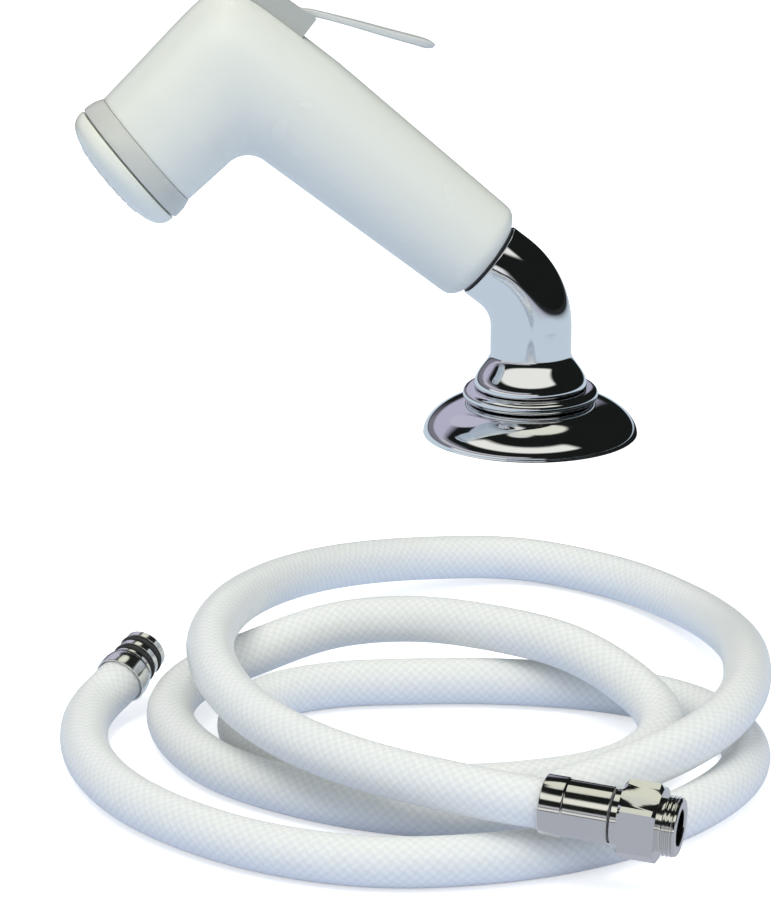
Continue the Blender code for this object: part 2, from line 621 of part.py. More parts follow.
def oval(centre_x, centre_z, half_in, half_across, angle, sides=28):
    """A ring in the plane through Y that leans by angle from +X towards +Z."""
    points = []
    for index in range(sides):
        turn = 2 * math.pi * index / sides
        inward = half_in * math.cos(turn)
        across = half_across * math.sin(turn)
        points.append(Vector((centre_x + inward * math.cos(angle), across, centre_z + inward * math.sin(angle))))
    return points


def body_rings(inset, handle_stations):
    """Rings along the handle, round the bend and down the head, drawn in by inset."""
    rings = []
    for along in handle_stations:
        radius = handle_radius(along) - inset
        drift = HANDLE_DRIFT * along / HANDLE_LENGTH
        rings.append(oval(drift, along, radius, radius, 0.0))
    pivot_x = HANDLE_DRIFT - HANDLE_HEAD_RADIUS - INNER_FILLET
    inner = INNER_FILLET + inset
    steps = 9
    for step in range(steps + 1):
        angle = HEAD_ANGLE * step / steps
        to_top = (INNER_FILLET + 2 * HANDLE_HEAD_RADIUS) / math.cos(angle)
        to_back = (INNER_FILLET + 2 * HEAD_RADIUS) / math.cos(HEAD_ANGLE - angle)
        outer = (to_top ** -CORNER_POWER + to_back ** -CORNER_POWER) ** (-1 / CORNER_POWER) - inset
        across = HANDLE_HEAD_RADIUS + (HEAD_RADIUS - HANDLE_HEAD_RADIUS) * step / steps - inset
        middle = (outer + inner) / 2
        rings.append(oval(pivot_x + middle * math.cos(angle), HANDLE_LENGTH + middle * math.sin(angle),
                          (outer - inner) / 2, across, angle))
    middle = INNER_FILLET + HEAD_RADIUS
    start = (pivot_x + middle * math.cos(HEAD_ANGLE), HANDLE_LENGTH + middle * math.sin(HEAD_ANGLE))
    end_angle = math.pi / 2 - FACE_TILT
    for share in (0.5, 1.0):
        x = start[0] + (-FACE_DEPTH - start[0]) * share
        z = start[1] + (FACE_ALONG - start[1]) * share
        radius = HEAD_RADIUS + (FACE_RADIUS - HEAD_RADIUS) * share - inset
        angle = HEAD_ANGLE + (end_angle - HEAD_ANGLE) * share
        rings.append(oval(x, z, radius, radius, angle))
    return rings


def face_oval(radius, height):
    """A ring about the spray's axis, at a height above the head's face."""
    x = -FACE_DEPTH - height * math.cos(FACE_TILT)
    z = FACE_ALONG + height * math.sin(FACE_TILT)
    return oval(x, z, radius, radius, math.pi / 2 - FACE_TILT)


def make_body(at, plastic):
    rounding = [HANDLE_ROUNDING * share for share in (0.0, 0.06, 0.2, 0.45, 1.0)]
    length = [HANDLE_LENGTH * share for share in (0.3, 0.55, 0.8)]
    outer = body_rings(0.0, rounding + length)
    outer += [face_oval(NECK_RADIUS, 0.0), face_oval(NECK_RADIUS, NECK_LENGTH)]
    body = skin("handset_body", outer, at["handset"], plastic)
    inside = body_rings(WALL, [END_WALL, HANDLE_ROUNDING] + length)
    inside += [face_oval(NECK_BORE, 0.0), face_oval(NECK_BORE, 2 * NECK_LENGTH)]
    cut(body, skin("body_cavity", inside, at["handset"]))

    add(body, rod("valve_boss", BOSS_RADIUS, BOSS_BOTTOM, POCKET_FLOOR, at["valve"], None, ROUND_LARGE))
    screw_at = (VALVE_ALONG - SCREW_ALONG, 0.0)
    screw_bore_low = BASE_TOP - SCREW_LENGTH - GAP
    boss_low = screw_bore_low - SCREW_BOSS_WALL / 2
    add(body, rod_at("screw_boss", SCREW_RADIUS + SCREW_BOSS_WALL, boss_low, POCKET_FLOOR, screw_at, at["valve"]))
    side = CHEEK_OUTSIDE + GAP
    bed = side + 2 * GAP
    add(body, box("bracket_bed", (POCKET_FLOOR - BED_THICKNESS, -bed, POCKET_START - BASE_THICKNESS),
                  (POCKET_FLOOR - GAP, bed, SCREW_ALONG + SCREW_RADIUS + 2 * GAP), at["handset"]))
    cut(body, box("pocket_cutter", (POCKET_FLOOR, -side, POCKET_START), (2 * POCKET_FLOOR, side, 2 * POCKET_START),
                  at["handset"]))
    cut(body, rod("valve_bore_cutter", VALVE_BORE, 2 * BOSS_BOTTOM, CAP_TOP + GAP, at["valve"], None,
                  ROUND_LARGE))
    cut(body, rod("stem_bore_cutter", STEM_BORE, 0.0, STEM_TIP, at["valve"]))
    cut(body, rod_at("screw_bore_cutter", SCREW_RADIUS + GAP, screw_bore_low, STEM_TIP, screw_at, at["valve"]))
    cut(body, rod("tube_bore_cutter", TUBE_RADIUS + GAP, HANDLE_LENGTH, VALVE_ALONG, at["handset"], None,
                  ROUND_SMALL))
    cut(body, rod("end_bore_cutter", TAIL_NECK_RADIUS + GAP, -END_WALL, 2 * END_WALL, at["handset"], None,
                  ROUND_SMALL))
    washer("water_tube", TUBE_BORE, TUBE_RADIUS, TUBE_START, TUBE_END, at["handset"], plastic)


def rod_at(name, radius, low, high, place, parent, finish=None, sides=ROUND_TINY):
    rings = [circle(radius, height, sides, place) for height in (low, high)]
    return skin(name, rings, parent, finish)


# ---- valve ---------------------------------------------------------------------------------------------------------------------------

def make_valve(at, brass, steel, rubber, nylon):
    seal_groove = HOUSING_RADIUS - 0.0014
    seal_half = SEAL_SECTION * 0.7 + GAP
    upper, lower = WEB_TOP + 0.0029, HOUSING_SEAT + 0.0018
    waist = 0.0035
    stem_seal = 0.00065
    groove_low = WEB_BOTTOM + 0.0007
    groove_high = groove_low + 2 * (stem_seal + GAP)
    groove_radius = STEM_BORE + 2 * stem_seal + GAP
    housing = turned(
        "valve_housing",
        (
            (SEAT_BORE, HOUSING_SEAT),
            (HOUSING_RADIUS, HOUSING_SEAT),
            (HOUSING_RADIUS, lower - seal_half),
            (seal_groove, lower - seal_half),
            (seal_groove, lower + seal_half),
            (HOUSING_RADIUS, lower + seal_half),
            (HOUSING_RADIUS, -waist),
            (HOUSING_WAIST, -waist),
            (HOUSING_WAIST, waist),
            (HOUSING_RADIUS, waist),
            (HOUSING_RADIUS, upper - seal_half),
            (seal_groove, upper - seal_half),
            (seal_groove, upper + seal_half),
            (HOUSING_RADIUS, upper + seal_half),
            (HOUSING_RADIUS, HOUSING_TOP),
            (SPRING_CHAMBER, HOUSING_TOP),
            (SPRING_CHAMBER, WEB_TOP),
            (STEM_BORE, WEB_TOP),
            (STEM_BORE, groove_high),
            (groove_radius, groove_high),
            (groove_radius, groove_low),
            (STEM_BORE, groove_low),
            (STEM_BORE, WEB_BOTTOM),
            (WATER_CHAMBER, WEB_BOTTOM),
            (WATER_CHAMBER, HOUSING_SEAT + 0.0017),
            (SEAT_BORE, HOUSING_SEAT + 0.0012),
        ),
        at["valve"], brass, ROUND_SMALL, bored=True, start=math.pi / ROUND_SMALL,
    )
    reach = VALVE_BORE
    cut(housing, box("port_cutter_along", (-reach, -PORT_RADIUS, -PORT_RADIUS), (reach, PORT_RADIUS, PORT_RADIUS),
                     at["valve"]))
    section = SEAL_SECTION * 0.7
    middle = seal_groove + GAP + section
    o_ring("housing_seal_upper", middle, section, upper, at["valve"], rubber)
    o_ring("housing_seal_lower", middle, section, lower, at["valve"], rubber)

    o_ring("stem_seal", STEM_BORE + stem_seal, stem_seal, groove_low + stem_seal + GAP, at["valve"], rubber)
    washer("valve_cap", STEM_BORE, HOUSING_RADIUS, HOUSING_TOP + GAP, CAP_TOP, at["valve"], nylon)

    collar_top = HOUSING_TOP
    washer_top = HOUSING_SEAT - GAP
    disc_top = washer_top - WASHER_THICKNESS - GAP
    disc_bottom = disc_top - DISC_THICKNESS
    foot = STEM_FOOT_RADIUS
    turned(
        "valve_stem",
        (
            (DISC_RADIUS * 0.6, disc_bottom - GAP - 0.0010),
            (DISC_RADIUS * 0.6, disc_bottom - GAP),
            (foot, disc_bottom - GAP),
            (foot, washer_top + GAP),
            (STEM_RADIUS, washer_top + GAP),
            (STEM_RADIUS, collar_top - COLLAR_THICKNESS),
            (COLLAR_RADIUS, collar_top - COLLAR_THICKNESS),
            (COLLAR_RADIUS, collar_top),
            (STEM_RADIUS, collar_top),
            (STEM_RADIUS, STEM_TIP - STEM_NOSE),
            (STEM_RADIUS * 0.85, STEM_TIP - STEM_NOSE * 0.4),
            (STEM_RADIUS * 0.4, STEM_TIP),
        ),
        at["valve"], steel, ROUND_TINY,
    )
    washer("seat_washer", foot + GAP, DISC_RADIUS, washer_top - WASHER_THICKNESS, washer_top, at["valve"], rubber)
    washer("valve_disc", foot + GAP, DISC_RADIUS, disc_bottom, disc_top, at["valve"], brass)
    make_spring(at, steel, WEB_TOP + GAP, collar_top - COLLAR_THICKNESS - GAP)
    make_funnel(at, nylon)


def make_spring(at, steel, low, high):
    """Open coil between the housing's web and the stem's collar."""
    turn_points = 9
    count = SPRING_TURNS * turn_points
    rise = high - low - 2 * SPRING_WIRE
    points = []
    for index in range(count + 1):
        angle = 2 * math.pi * index / turn_points
        height = low + SPRING_WIRE + rise * index / count
        points.append((SPRING_RADIUS * math.cos(angle), SPRING_RADIUS * math.sin(angle), height))
    tube("return_spring", points, SPRING_WIRE, 1, at["valve"], steel)


def tube(name, points, radius, resolution, parent, finish):
    curve = bpy.data.curves.new(name, "CURVE")
    curve.dimensions = "3D"
    curve.bevel_depth = radius
    curve.bevel_resolution = resolution
    curve.use_fill_caps = True
    spline = curve.splines.new("POLY")
    spline.points.add(len(points) - 1)
    for point, place in zip(spline.points, points):
        point.co = (*place, 1.0)
    return add_object(name, curve, parent, finish)


def make_funnel(at, nylon):
    """Chamber that widens from under the valve to the spray face."""
    start = Vector((BOSS_BOTTOM - GAP, 0.0, VALVE_ALONG))
    end = Vector((-FACE_DEPTH - DIFFUSER_BASE * math.cos(FACE_TILT), 0.0,
                  FACE_ALONG + DIFFUSER_BASE * math.sin(FACE_TILT)))
    waist = BOSS_RADIUS + (FUNNEL_MOUTH_RADIUS - BOSS_RADIUS) * 0.44
    stations = ((0.0, BOSS_RADIUS), (0.12, BOSS_RADIUS), (0.55, waist), (0.85, FUNNEL_MOUTH_RADIUS),
                (1.0, FUNNEL_MOUTH_RADIUS))
    outside, inside = [], []
    for share, radius in stations:
        centre = start.lerp(end, share)
        angle = math.pi / 2 - FACE_TILT * share
        outside.append(oval(centre.x, centre.z, radius, radius, angle, ROUND_SMALL))
        inside.append(oval(centre.x, centre.z, radius - FUNNEL_WALL, radius - FUNNEL_WALL, angle, ROUND_SMALL))
    skin("outlet_funnel", outside + inside[::-1], at["handset"], nylon, closed=True)


# ---- face ----------------------------------------------------------------------------------------------------------------------------------

def make_face(at, grey, pearl, rubber, nylon):
    ring_inner = NECK_RADIUS + GAP
    turned(
        "face_ring",
        (
            (ring_inner, GAP),
            (FACE_RADIUS - GAP, GAP),
            (FACE_RADIUS + 2 * GAP, 3 * GAP),
            (RING_RADIUS - GAP, RING_HEIGHT * 0.45),
            (RING_RADIUS, RING_HEIGHT * 0.8),
            (RING_RADIUS - GAP, RING_HEIGHT - GAP),
            (RING_RADIUS - 3 * GAP, RING_HEIGHT),
            (ring_inner, RING_HEIGHT),
        ),
        at["face"], grey, 36, bored=True,
    )
    low = DIFFUSER_BASE + GAP
    disc_radius = NECK_BORE - GAP
    diffuser = turned(
        "diffuser_disc",
        (
            (disc_radius, low),
            (disc_radius, NECK_LENGTH),
            (FUNNEL_RIM, NECK_LENGTH),
            (FUNNEL_RIM, low + DIFFUSER_THICKNESS),
            (DIFFUSER_HOLE, low + DIFFUSER_THICKNESS),
            (DIFFUSER_HOLE, low),
        ),
        at["face"], nylon, ROUND_SMALL, bored=True,
    )
    places = ring_places(((6, FUNNEL_RIM * 0.37), (10, FUNNEL_RIM * 0.73)))
    cut(diffuser, joined_rods("diffuser_holes", places, DIFFUSER_HOLE, 0.0, 2 * low, at["face"], 8))
    washer("face_gasket", FUNNEL_RIM, NECK_RADIUS, GASKET_BASE, GASKET_BASE + GASKET_HEIGHT, at["face"], rubber,
           ROUND_LARGE)
    make_spray_plate(at, pearl)


def make_spray_plate(at, pearl):
    """Domed plate with its rings of jets, hollow behind, with a skirt that enters the ring."""
    skirt_base = GASKET_BASE + GASKET_HEIGHT + GAP
    chamber = NECK_RADIUS - CHAMBER_WALL
    top = PLATE_BASE + DOME_HEIGHT
    inside = quarter_arch(JET_RADIUS, chamber, PLATE_BASE + DOME_WALL, top - DOME_WALL, 2.6, 4)
    outside = quarter_arch(JET_RADIUS, DOME_RADIUS, PLATE_BASE, top, 2.8, 6)
    outline = inside[::-1] + [(chamber, skirt_base), (NECK_RADIUS, skirt_base), (NECK_RADIUS, PLATE_BASE)] + outside
    plate = turned("spray_plate", outline, at["face"], pearl, 32, bored=True)
    cut(plate, joined_rods("jet_cutters", ring_places(JET_RINGS), JET_RADIUS, PLATE_BASE, top + GAP, at["face"],
                           JET_SIDES))


# ---- lever --------------------------------------------------------------------------------------------------------------------------------------

def make_lever(at, light_grey, mid_grey, steel):
    rings = []
    for reach, top, under, wider in LEVER_SECTIONS:
        middle, thick = (top + under) / 2, (top - under) / 2
        half = LEVER_HALF_WIDTH + wider
        ring = []
        for index in range(16):
            turn = 2 * math.pi * (index + 0.5) / 16
            across, up = math.cos(turn), math.sin(turn)
            scale = (abs(across) ** 5 + abs(up) ** 5) ** (-1 / 5)
            ring.append(Vector((middle + thick * up * scale, half * across * scale, -reach)))
        rings.append(ring)
    lever = skin("lever", rings, at["pivot"], light_grey)
    add(lever, cross_rod("lever_barrel", BARREL_RADIUS, LEVER_HALF_WIDTH - GAP / 2, at["pivot"], ROUND_SMALL))
    cut(lever, cross_rod("lever_pin_bore", PIN_HOLE, 2 * LEVER_HALF_WIDTH, at["pivot"], ROUND_TINY))

    rings = []
    for past, rise in BRACKET_SECTIONS:
        height = PIVOT_HEIGHT + rise
        corners = (
            (BASE_BOTTOM, -CHEEK_OUTSIDE), (BASE_BOTTOM, CHEEK_OUTSIDE), (height, CHEEK_OUTSIDE),
            (height, CHEEK_INSIDE), (BASE_TOP, CHEEK_INSIDE), (BASE_TOP, -CHEEK_INSIDE),
            (height, -CHEEK_INSIDE), (height, -CHEEK_OUTSIDE),
        )
        rings.append([Vector((x, y, PIVOT_ALONG + past)) for x, y in corners])
    bracket = skin("lever_bracket", rings, at["handset"], mid_grey)
    cut(bracket, rod("bracket_stem_hole", STEM_BORE + GAP, 0.0, 2 * BASE_TOP, at["valve"]))
    screw_at = (VALVE_ALONG - SCREW_ALONG, 0.0)
    cut(bracket, rod_at("bracket_screw_hole", SCREW_RADIUS + GAP, 0.0, 2 * BASE_TOP, screw_at, at["valve"]))
    cut(bracket, cross_rod("bracket_pin_hole", PIN_HOLE, 2 * CHEEK_OUTSIDE, at["pivot"], ROUND_TINY))

    pin = cross_rod("pivot_pin", PIN_RADIUS, CHEEK_OUTSIDE + GAP, at["pivot"], ROUND_TINY)
    pin.data.materials.append(steel)
    head_low = BASE_TOP + GAP
    rings = [circle(radius, height, ROUND_TINY, screw_at) for radius, height in (
        (SCREW_RADIUS, head_low - SCREW_LENGTH),
        (SCREW_RADIUS, head_low),
        (SCREW_HEAD_RADIUS, head_low),
        (SCREW_HEAD_RADIUS, head_low + SCREW_HEAD_HEIGHT * 0.6),
        (SCREW_HEAD_RADIUS * 0.6, head_low + SCREW_HEAD_HEIGHT),
    )]
    skin("bracket_screw", rings, at["valve"], steel)


def cross_rod(name, radius, half_length, parent, sides):
    """A rod along Y through the frame's origin."""
    rings = []
    for y in (-half_length, half_length):
        rings.append([Vector((p.x, y, p.y)) for p in circle(radius, 0.0, sides)])
    return skin(name, rings, parent)


# ---- hose -------------------------------------------------------------------------------------------------------------------------------------------

def smooth_route(stations, spacing):
    """Evenly spaced points on a smooth curve through the stations (centripetal Catmull-Rom)."""
    knots = [Vector(p) for p in stations]
    knots = [2 * knots[0] - knots[1]] + knots + [2 * knots[-1] - knots[-2]]
    fine = []
    for first, second, third, fourth in zip(knots, knots[1:], knots[2:], knots[3:]):
        times = [0.0]
        for before, after in ((first, second), (second, third), (third, fourth)):
            times.append(times[-1] + (after - before).length ** 0.5)
        t0, t1, t2, t3 = times
        for step in range(16):
            t = t1 + (t2 - t1) * step / 16
            a1 = first.lerp(second, (t - t0) / (t1 - t0))
            a2 = second.lerp(third, (t - t1) / (t2 - t1))
            a3 = third.lerp(fourth, (t - t2) / (t3 - t2))
            b1 = a1.lerp(a2, (t - t0) / (t2 - t0))
            b2 = a2.lerp(a3, (t - t1) / (t3 - t1))
            fine.append(b1.lerp(b2, (t - t1) / (t2 - t1)))
    fine.append(knots[-2])
    for _ in range(12):
        inner = [(a + 2 * b + c) / 4 for a, b, c in zip(fine, fine[1:], fine[2:])]
        fine = [fine[0]] + inner + [fine[-1]]
    return spaced(fine, spacing)


def spaced(points, spacing):
    lengths = [0.0]
    for before, after in zip(points, points[1:]):
        lengths.append(lengths[-1] + (after - before).length)
    count = max(2, round(lengths[-1] / spacing))
    result, index = [], 0
    for step in range(count + 1):
        target = lengths[-1] * step / count
        while index < len(points) - 2 and lengths[index + 1] < target:
            index += 1
        share = (target - lengths[index]) / (lengths[index + 1] - lengths[index])
        result.append(points[index].lerp(points[index + 1], share))
    return result


def least_gap(points, radius):
    """Least gap between stretches of the tube that aren't neighbours, measured on its points."""
    step = (points[1] - points[0]).length
    apart = math.ceil(6 * radius / step)
    least = min((points[i] - points[j]).length for i in range(len(points)) for j in range(i + apart, len(points)))
    return least - 2 * radius


def make_hose(at, pvc, chrome, rubber):
    union_axis = Vector(UNION_DIRECTION).normalized()
    plug_axis = Vector(PLUG_DIRECTION).normalized()
    hose_start = Vector(HOSE_STATIONS[0]) + union_axis * (FERRULE_LENGTH - 2 * GAP)
    hose_end = Vector(HOSE_STATIONS[-1]) + plug_axis * PLUG_HOSE_DEPTH
    loop_length = 0.52
    route = smooth_route(HOSE_STATIONS, loop_length / LOOP_POINTS)
    fine = smooth_route(HOSE_STATIONS, HOSE_RADIUS / 2)
    print("least gap of the hose to itself, mm:", round(least_gap(fine, HOSE_RADIUS) * 1000, 2))
    whole = [hose_start] + fine + [hose_end]
    print("length of the hose, mm:", round(sum((b - a).length for a, b in zip(whole, whole[1:])) * 1000))
    tube("supply_hose", [hose_start] + route + [hose_end], HOSE_RADIUS, 2, at["holder"], pvc)

    inner = HOSE_RADIUS + GAP
    turned(
        "hose_ferrule",
        (
            (inner, 0.0),
            (inner + FERRULE_COLLAR_WALL - GAP, 0.0),
            (inner + FERRULE_COLLAR_WALL, GAP),
            (inner + FERRULE_COLLAR_WALL, FERRULE_COLLAR - GAP),
            (inner + FERRULE_WALL, FERRULE_COLLAR + GAP),
            (inner + FERRULE_WALL, FERRULE_LENGTH),
            (inner, FERRULE_LENGTH),
        ),
        at["union"], chrome, ROUND_SMALL, bored=True,
    )
    make_union(at, chrome)
    make_plug(at, chrome, rubber)


def make_union(at, chrome):
    """Collar, hexagon with turned-down corners, a groove and the threaded end, bored through."""
    start = FERRULE_LENGTH + GAP
    low = start + UNION_COLLAR_LENGTH
    high = low + UNION_HEX_LENGTH
    corner = UNION_HEX / math.sqrt(3)
    thread_low = high + UNION_GROOVE
    end = thread_low + UNION_THREAD_LENGTH
    neck = UNION_THREAD_RADIUS - 0.0009
    union = turned("hose_union", ((corner, low), (corner, high)), at["union"], chrome, 6, start=math.pi / 6)
    bevel = corner - UNION_HEX / 2
    trim = turned(
        "union_corner_trim",
        (
            (corner - bevel, low - GAP), (corner + GAP, low + bevel * 0.6), (corner + GAP, high - bevel * 0.6),
            (corner - bevel, high + GAP),
        ),
        at["union"], None, ROUND_LARGE,
    )
    combine(union, trim, "INTERSECT")
    add(union, turned(
        "union_end",
        (
            (HOSE_RADIUS, start), (HOSE_RADIUS + FERRULE_WALL, start + GAP), (HOSE_RADIUS + FERRULE_WALL, low + GAP),
            (neck, low + GAP), (neck, thread_low), (UNION_THREAD_RADIUS, thread_low + GAP),
            (UNION_THREAD_RADIUS, end - 2 * GAP), (UNION_THREAD_RADIUS - 2 * GAP, end),
        ),
        at["union"], None, ROUND_SMALL,
    ))
    cut(union, rod("union_bore_cutter", UNION_BORE, 0.0, 2 * end, at["union"], None, ROUND_SMALL))


def make_plug(at, chrome, rubber):
    """Push-in end: a sleeve on the hose, and a nipple with two seals, kept by its shoulder, that turns in it."""
    inner = HOSE_RADIUS + GAP
    hold = PLUG_HOSE_DEPTH + GAP
    front = hold + PLUG_FLANGE_THICKNESS + 2 * GAP
    rim = inner + FERRULE_WALL
    turned(
        "plug_sleeve",
        (
            (inner, 0.0),
            (rim - GAP, 0.0),
            (rim, GAP),
            (rim, hold),
            (rim - GAP, front),
            (rim - 2 * GAP, PLUG_SLEEVE_LENGTH - 2 * GAP),
            (rim - 4 * GAP, PLUG_SLEEVE_LENGTH),
            (PLUG_NECK_RADIUS + GAP, PLUG_SLEEVE_LENGTH),
            (PLUG_NECK_RADIUS + GAP, front),
            (PLUG_FLANGE_RADIUS + GAP, front),
            (PLUG_FLANGE_RADIUS + GAP, hold),
            (inner, hold),
        ),
        at["plug"], chrome, ROUND_SMALL, bored=True,
    )
    low = PLUG_SLEEVE_LENGTH + GAP
    high = low + PLUG_LENGTH
    seal = PLUG_SEAL_SECTION
    centres = [low + place for place in PLUG_SEAL_PLACES]
    floor = PLUG_RADIUS - 2 * seal
    outline = [(PLUG_BORE, hold + GAP), (PLUG_FLANGE_RADIUS, hold + GAP),
               (PLUG_FLANGE_RADIUS, hold + GAP + PLUG_FLANGE_THICKNESS),
               (PLUG_NECK_RADIUS, hold + GAP + PLUG_FLANGE_THICKNESS), (PLUG_NECK_RADIUS, low), (PLUG_RADIUS, low)]
    for centre in centres:
        half = seal + GAP
        outline += [(PLUG_RADIUS, centre - half), (floor, centre - half), (floor, centre + half),
                    (PLUG_RADIUS, centre + half)]
    outline += [(PLUG_RADIUS, high - 3 * GAP), (PLUG_RADIUS - 3 * GAP, high), (PLUG_BORE, high)]
    turned("plug_nipple", outline, at["plug"], chrome, ROUND_SMALL, bored=True)
    for index, centre in enumerate(centres):
        o_ring(f"plug_seal_{index + 1}", floor + GAP + seal, seal, centre, at["plug"], rubber)


# ---- whole object ------------------------------------------------------------------------------------------------------------------------------------------

def main():
    clear_scene()
    chrome = material("chrome", (0.78, 0.79, 0.80), 0.08, 1.0)
    steel = material("stainless_steel", (0.62, 0.62, 0.63), 0.30, 1.0)
    brass = material("brass", (0.72, 0.56, 0.30), 0.30, 1.0)
    plastic = material("white_plastic", (0.86, 0.87, 0.86), 0.30)
    pearl = material("pearl_plastic", (0.80, 0.81, 0.79), 0.25)
    grey = material("light_grey_plastic", (0.72, 0.73, 0.72), 0.35)
    mid_grey = material("grey_plastic", (0.62, 0.66, 0.65), 0.40)
    nylon = material("natural_nylon", (0.83, 0.83, 0.80), 0.50)
    dark = material("black_nylon", (0.05, 0.05, 0.05), 0.50)
    rubber = material("black_rubber", (0.04, 0.04, 0.04), 0.70)
    pvc = material("clear_braided_pvc", (0.86, 0.88, 0.89), 0.25)
    at = make_frames()
    make_holder(at, chrome, steel, rubber, dark)
    make_tail(at, brass, steel, rubber)
    make_body(at, plastic)
    make_valve(at, brass, steel, rubber, nylon)
    make_face(at, grey, pearl, rubber, nylon)
    make_lever(at, grey, mid_grey, steel)
    make_hose(at, pvc, chrome, rubber)
    bpy.context.view_layer.update()


main()
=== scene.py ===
"""Looks of the deck-mounted hand spray, its elbow holder and its loose coiled hose.

Sizes are in metres. The pieces are built in working frames: the deck frame (+Z up), the socket frame (+Z out
of the holder's mouth), the handset frame (+Z along the handle to the head, +X on the lever's side), the face
frame (+Z along the spray), and the union and plug frames (+Z out of the hose's end).
"""
import math

import bmesh
import bpy
from mathutils import Matrix, Vector


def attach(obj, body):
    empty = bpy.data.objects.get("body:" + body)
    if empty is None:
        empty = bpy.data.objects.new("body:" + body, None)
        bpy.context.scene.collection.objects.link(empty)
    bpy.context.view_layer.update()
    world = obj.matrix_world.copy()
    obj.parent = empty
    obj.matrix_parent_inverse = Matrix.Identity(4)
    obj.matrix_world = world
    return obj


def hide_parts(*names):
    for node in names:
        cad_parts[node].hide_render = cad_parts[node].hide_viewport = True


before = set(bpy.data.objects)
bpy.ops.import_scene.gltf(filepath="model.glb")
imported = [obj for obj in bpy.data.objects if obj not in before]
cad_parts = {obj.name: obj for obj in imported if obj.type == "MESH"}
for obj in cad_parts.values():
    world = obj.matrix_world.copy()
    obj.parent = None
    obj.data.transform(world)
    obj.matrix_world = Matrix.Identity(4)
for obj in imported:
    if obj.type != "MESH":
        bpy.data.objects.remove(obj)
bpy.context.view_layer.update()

GAP = 0.0003                 # clearance between pieces that fit together

# ---- holder ----
FLANGE_RADIUS = 0.0353
FLANGE_EDGE = 0.0002
FLANGE_RIM_HEIGHT = 0.0006
FLANGE_SEAT_HEIGHT = 0.01105
FLANGE_SEAT_RADIUS = 0.0205
FLANGE_WALL = 0.0020
FLANGE_OUTER_POWER = 1.7     # 2 makes a quarter ellipse, less comes nearer to a cone
FLANGE_INNER_POWER = 2.2
GASKET_THICKNESS = 0.0016
NECK_RING_RADIUS = 0.02225
NECK_RING_THICKNESS = 0.0045
SPIGOT_RADIUS = 0.0130
SPIGOT_FOOT = 0.0030
BELL_RADIUS = 0.0185
BELL_HEIGHT = 0.0112
BELL_FLARE_POWER = 0.8
ELBOW_RADIUS = 0.0133
ELBOW_BORE = 0.0112
ELBOW_EDGE = 0.0004
ELBOW_BEND_START = 0.0364
ELBOW_BEND_RADIUS = 0.0233
ELBOW_ANGLE = math.radians(52.0)
ELBOW_REACH = 0.0063
LINER_LIP = 0.0005
LINER_LENGTH = 0.0088
LINER_RADIUS = 0.0109
LINER_BORE = 0.0093
LINER_EDGE = 0.00025

# ---- hand spray ----
BODY_SIDES = 112
BODY_WALL = 0.0026
BODY_EDGE = 0.0002
HANDSET_TURN = math.radians(8.0)
HANDLE_LENGTH = 0.0770
HANDLE_END_RADIUS = 0.0131
HANDLE_RADIUS = 0.0172
HANDLE_HEAD_RADIUS = 0.0199
HANDLE_ROUNDING = 0.0060
HANDLE_RING_SPACING = 1.6    # above 1, the rings lie closer together towards the handle's end
HANDLE_DRIFT = 0.0013
HANDLE_BORE = 0.0075
END_WALL = 0.0032
INNER_FILLET = 0.0090
HEAD_RADIUS = 0.0216
HEAD_ANGLE = math.radians(84.0)
CORNER_POWER = 9.5
FACE_RADIUS = 0.0211
FACE_TILT = math.radians(12.5)
FACE_DEPTH = 0.0384
FACE_ALONG = 0.1096
FACE_BORE = 0.0172
NECK_RADIUS = 0.0196
POCKET_HALF_WIDTH = 0.0056
POCKET_FLOOR = 0.0193
POCKET_TOP = 0.0400          # clear of the body
POCKET_START = 0.0916
POCKET_END = 0.1400          # clear of the body
RING_RADIUS = 0.0226
RING_HEIGHT = 0.0073
RING_FOOT_STEP = 0.0001
RING_FLARE = (0.45, 0.80)    # shares of the ring's height at which its flare eases off and ends
RING_EDGE = 0.0005
PLATE_GROOVE = 0.0006
PLATE_EDGE = 0.0003
DOME_RADIUS = 0.0224
DOME_HEIGHT = 0.0085
DOME_FLAT = 0.0008
DOME_POWER = 2.8
JET_RINGS = ((1, 0.0), (6, 0.0042), (12, 0.0084), (18, 0.0126))
JET_RADIUS = 0.00065
JET_LIP_WIDTH = 0.0005
JET_DEPTH = 0.0016
JET_SIDES = 14
JET_CUT_ABOVE = 0.0010       # how far the cutting rods stand out of the dome
SEED_SIZE = 0.0002

# ---- lever ----
PIVOT_ALONG = 0.1090
PIVOT_HEIGHT = 0.0249
PIN_RADIUS = 0.0012
PIN_HALF_LENGTH = 0.0056
PIN_EDGE = 0.00025
BARREL_RADIUS = 0.0027
EYE_CUT_HALF_LENGTH = 0.0100
BRACKET_EDGE = 0.00035
LEVER_HALF_WIDTH = 0.0034
LEVER_CORNER_POWER = 6
LEVER_SECTIONS = (
    # along the handle, top, underside, half width
    (0.1090, 0.0273, 0.0250, 0.0034),
    (0.1040, 0.0274, 0.0253, 0.0034),
    (0.0980, 0.0276, 0.0254, 0.0034),
    (0.0945, 0.0295, 0.0271, 0.0034),
    (0.0900, 0.0315, 0.0292, 0.0039),
    (0.0853, 0.0335, 0.0312, 0.0047),
    (0.0795, 0.0360, 0.0335, 0.0053),
    (0.0700, 0.0399, 0.0371, 0.0058),
    (0.0620, 0.0433, 0.0403, 0.0059),
    (0.0583, 0.0446, 0.0417, 0.0052),
    (0.0563, 0.0448, 0.0432, 0.0038),
)

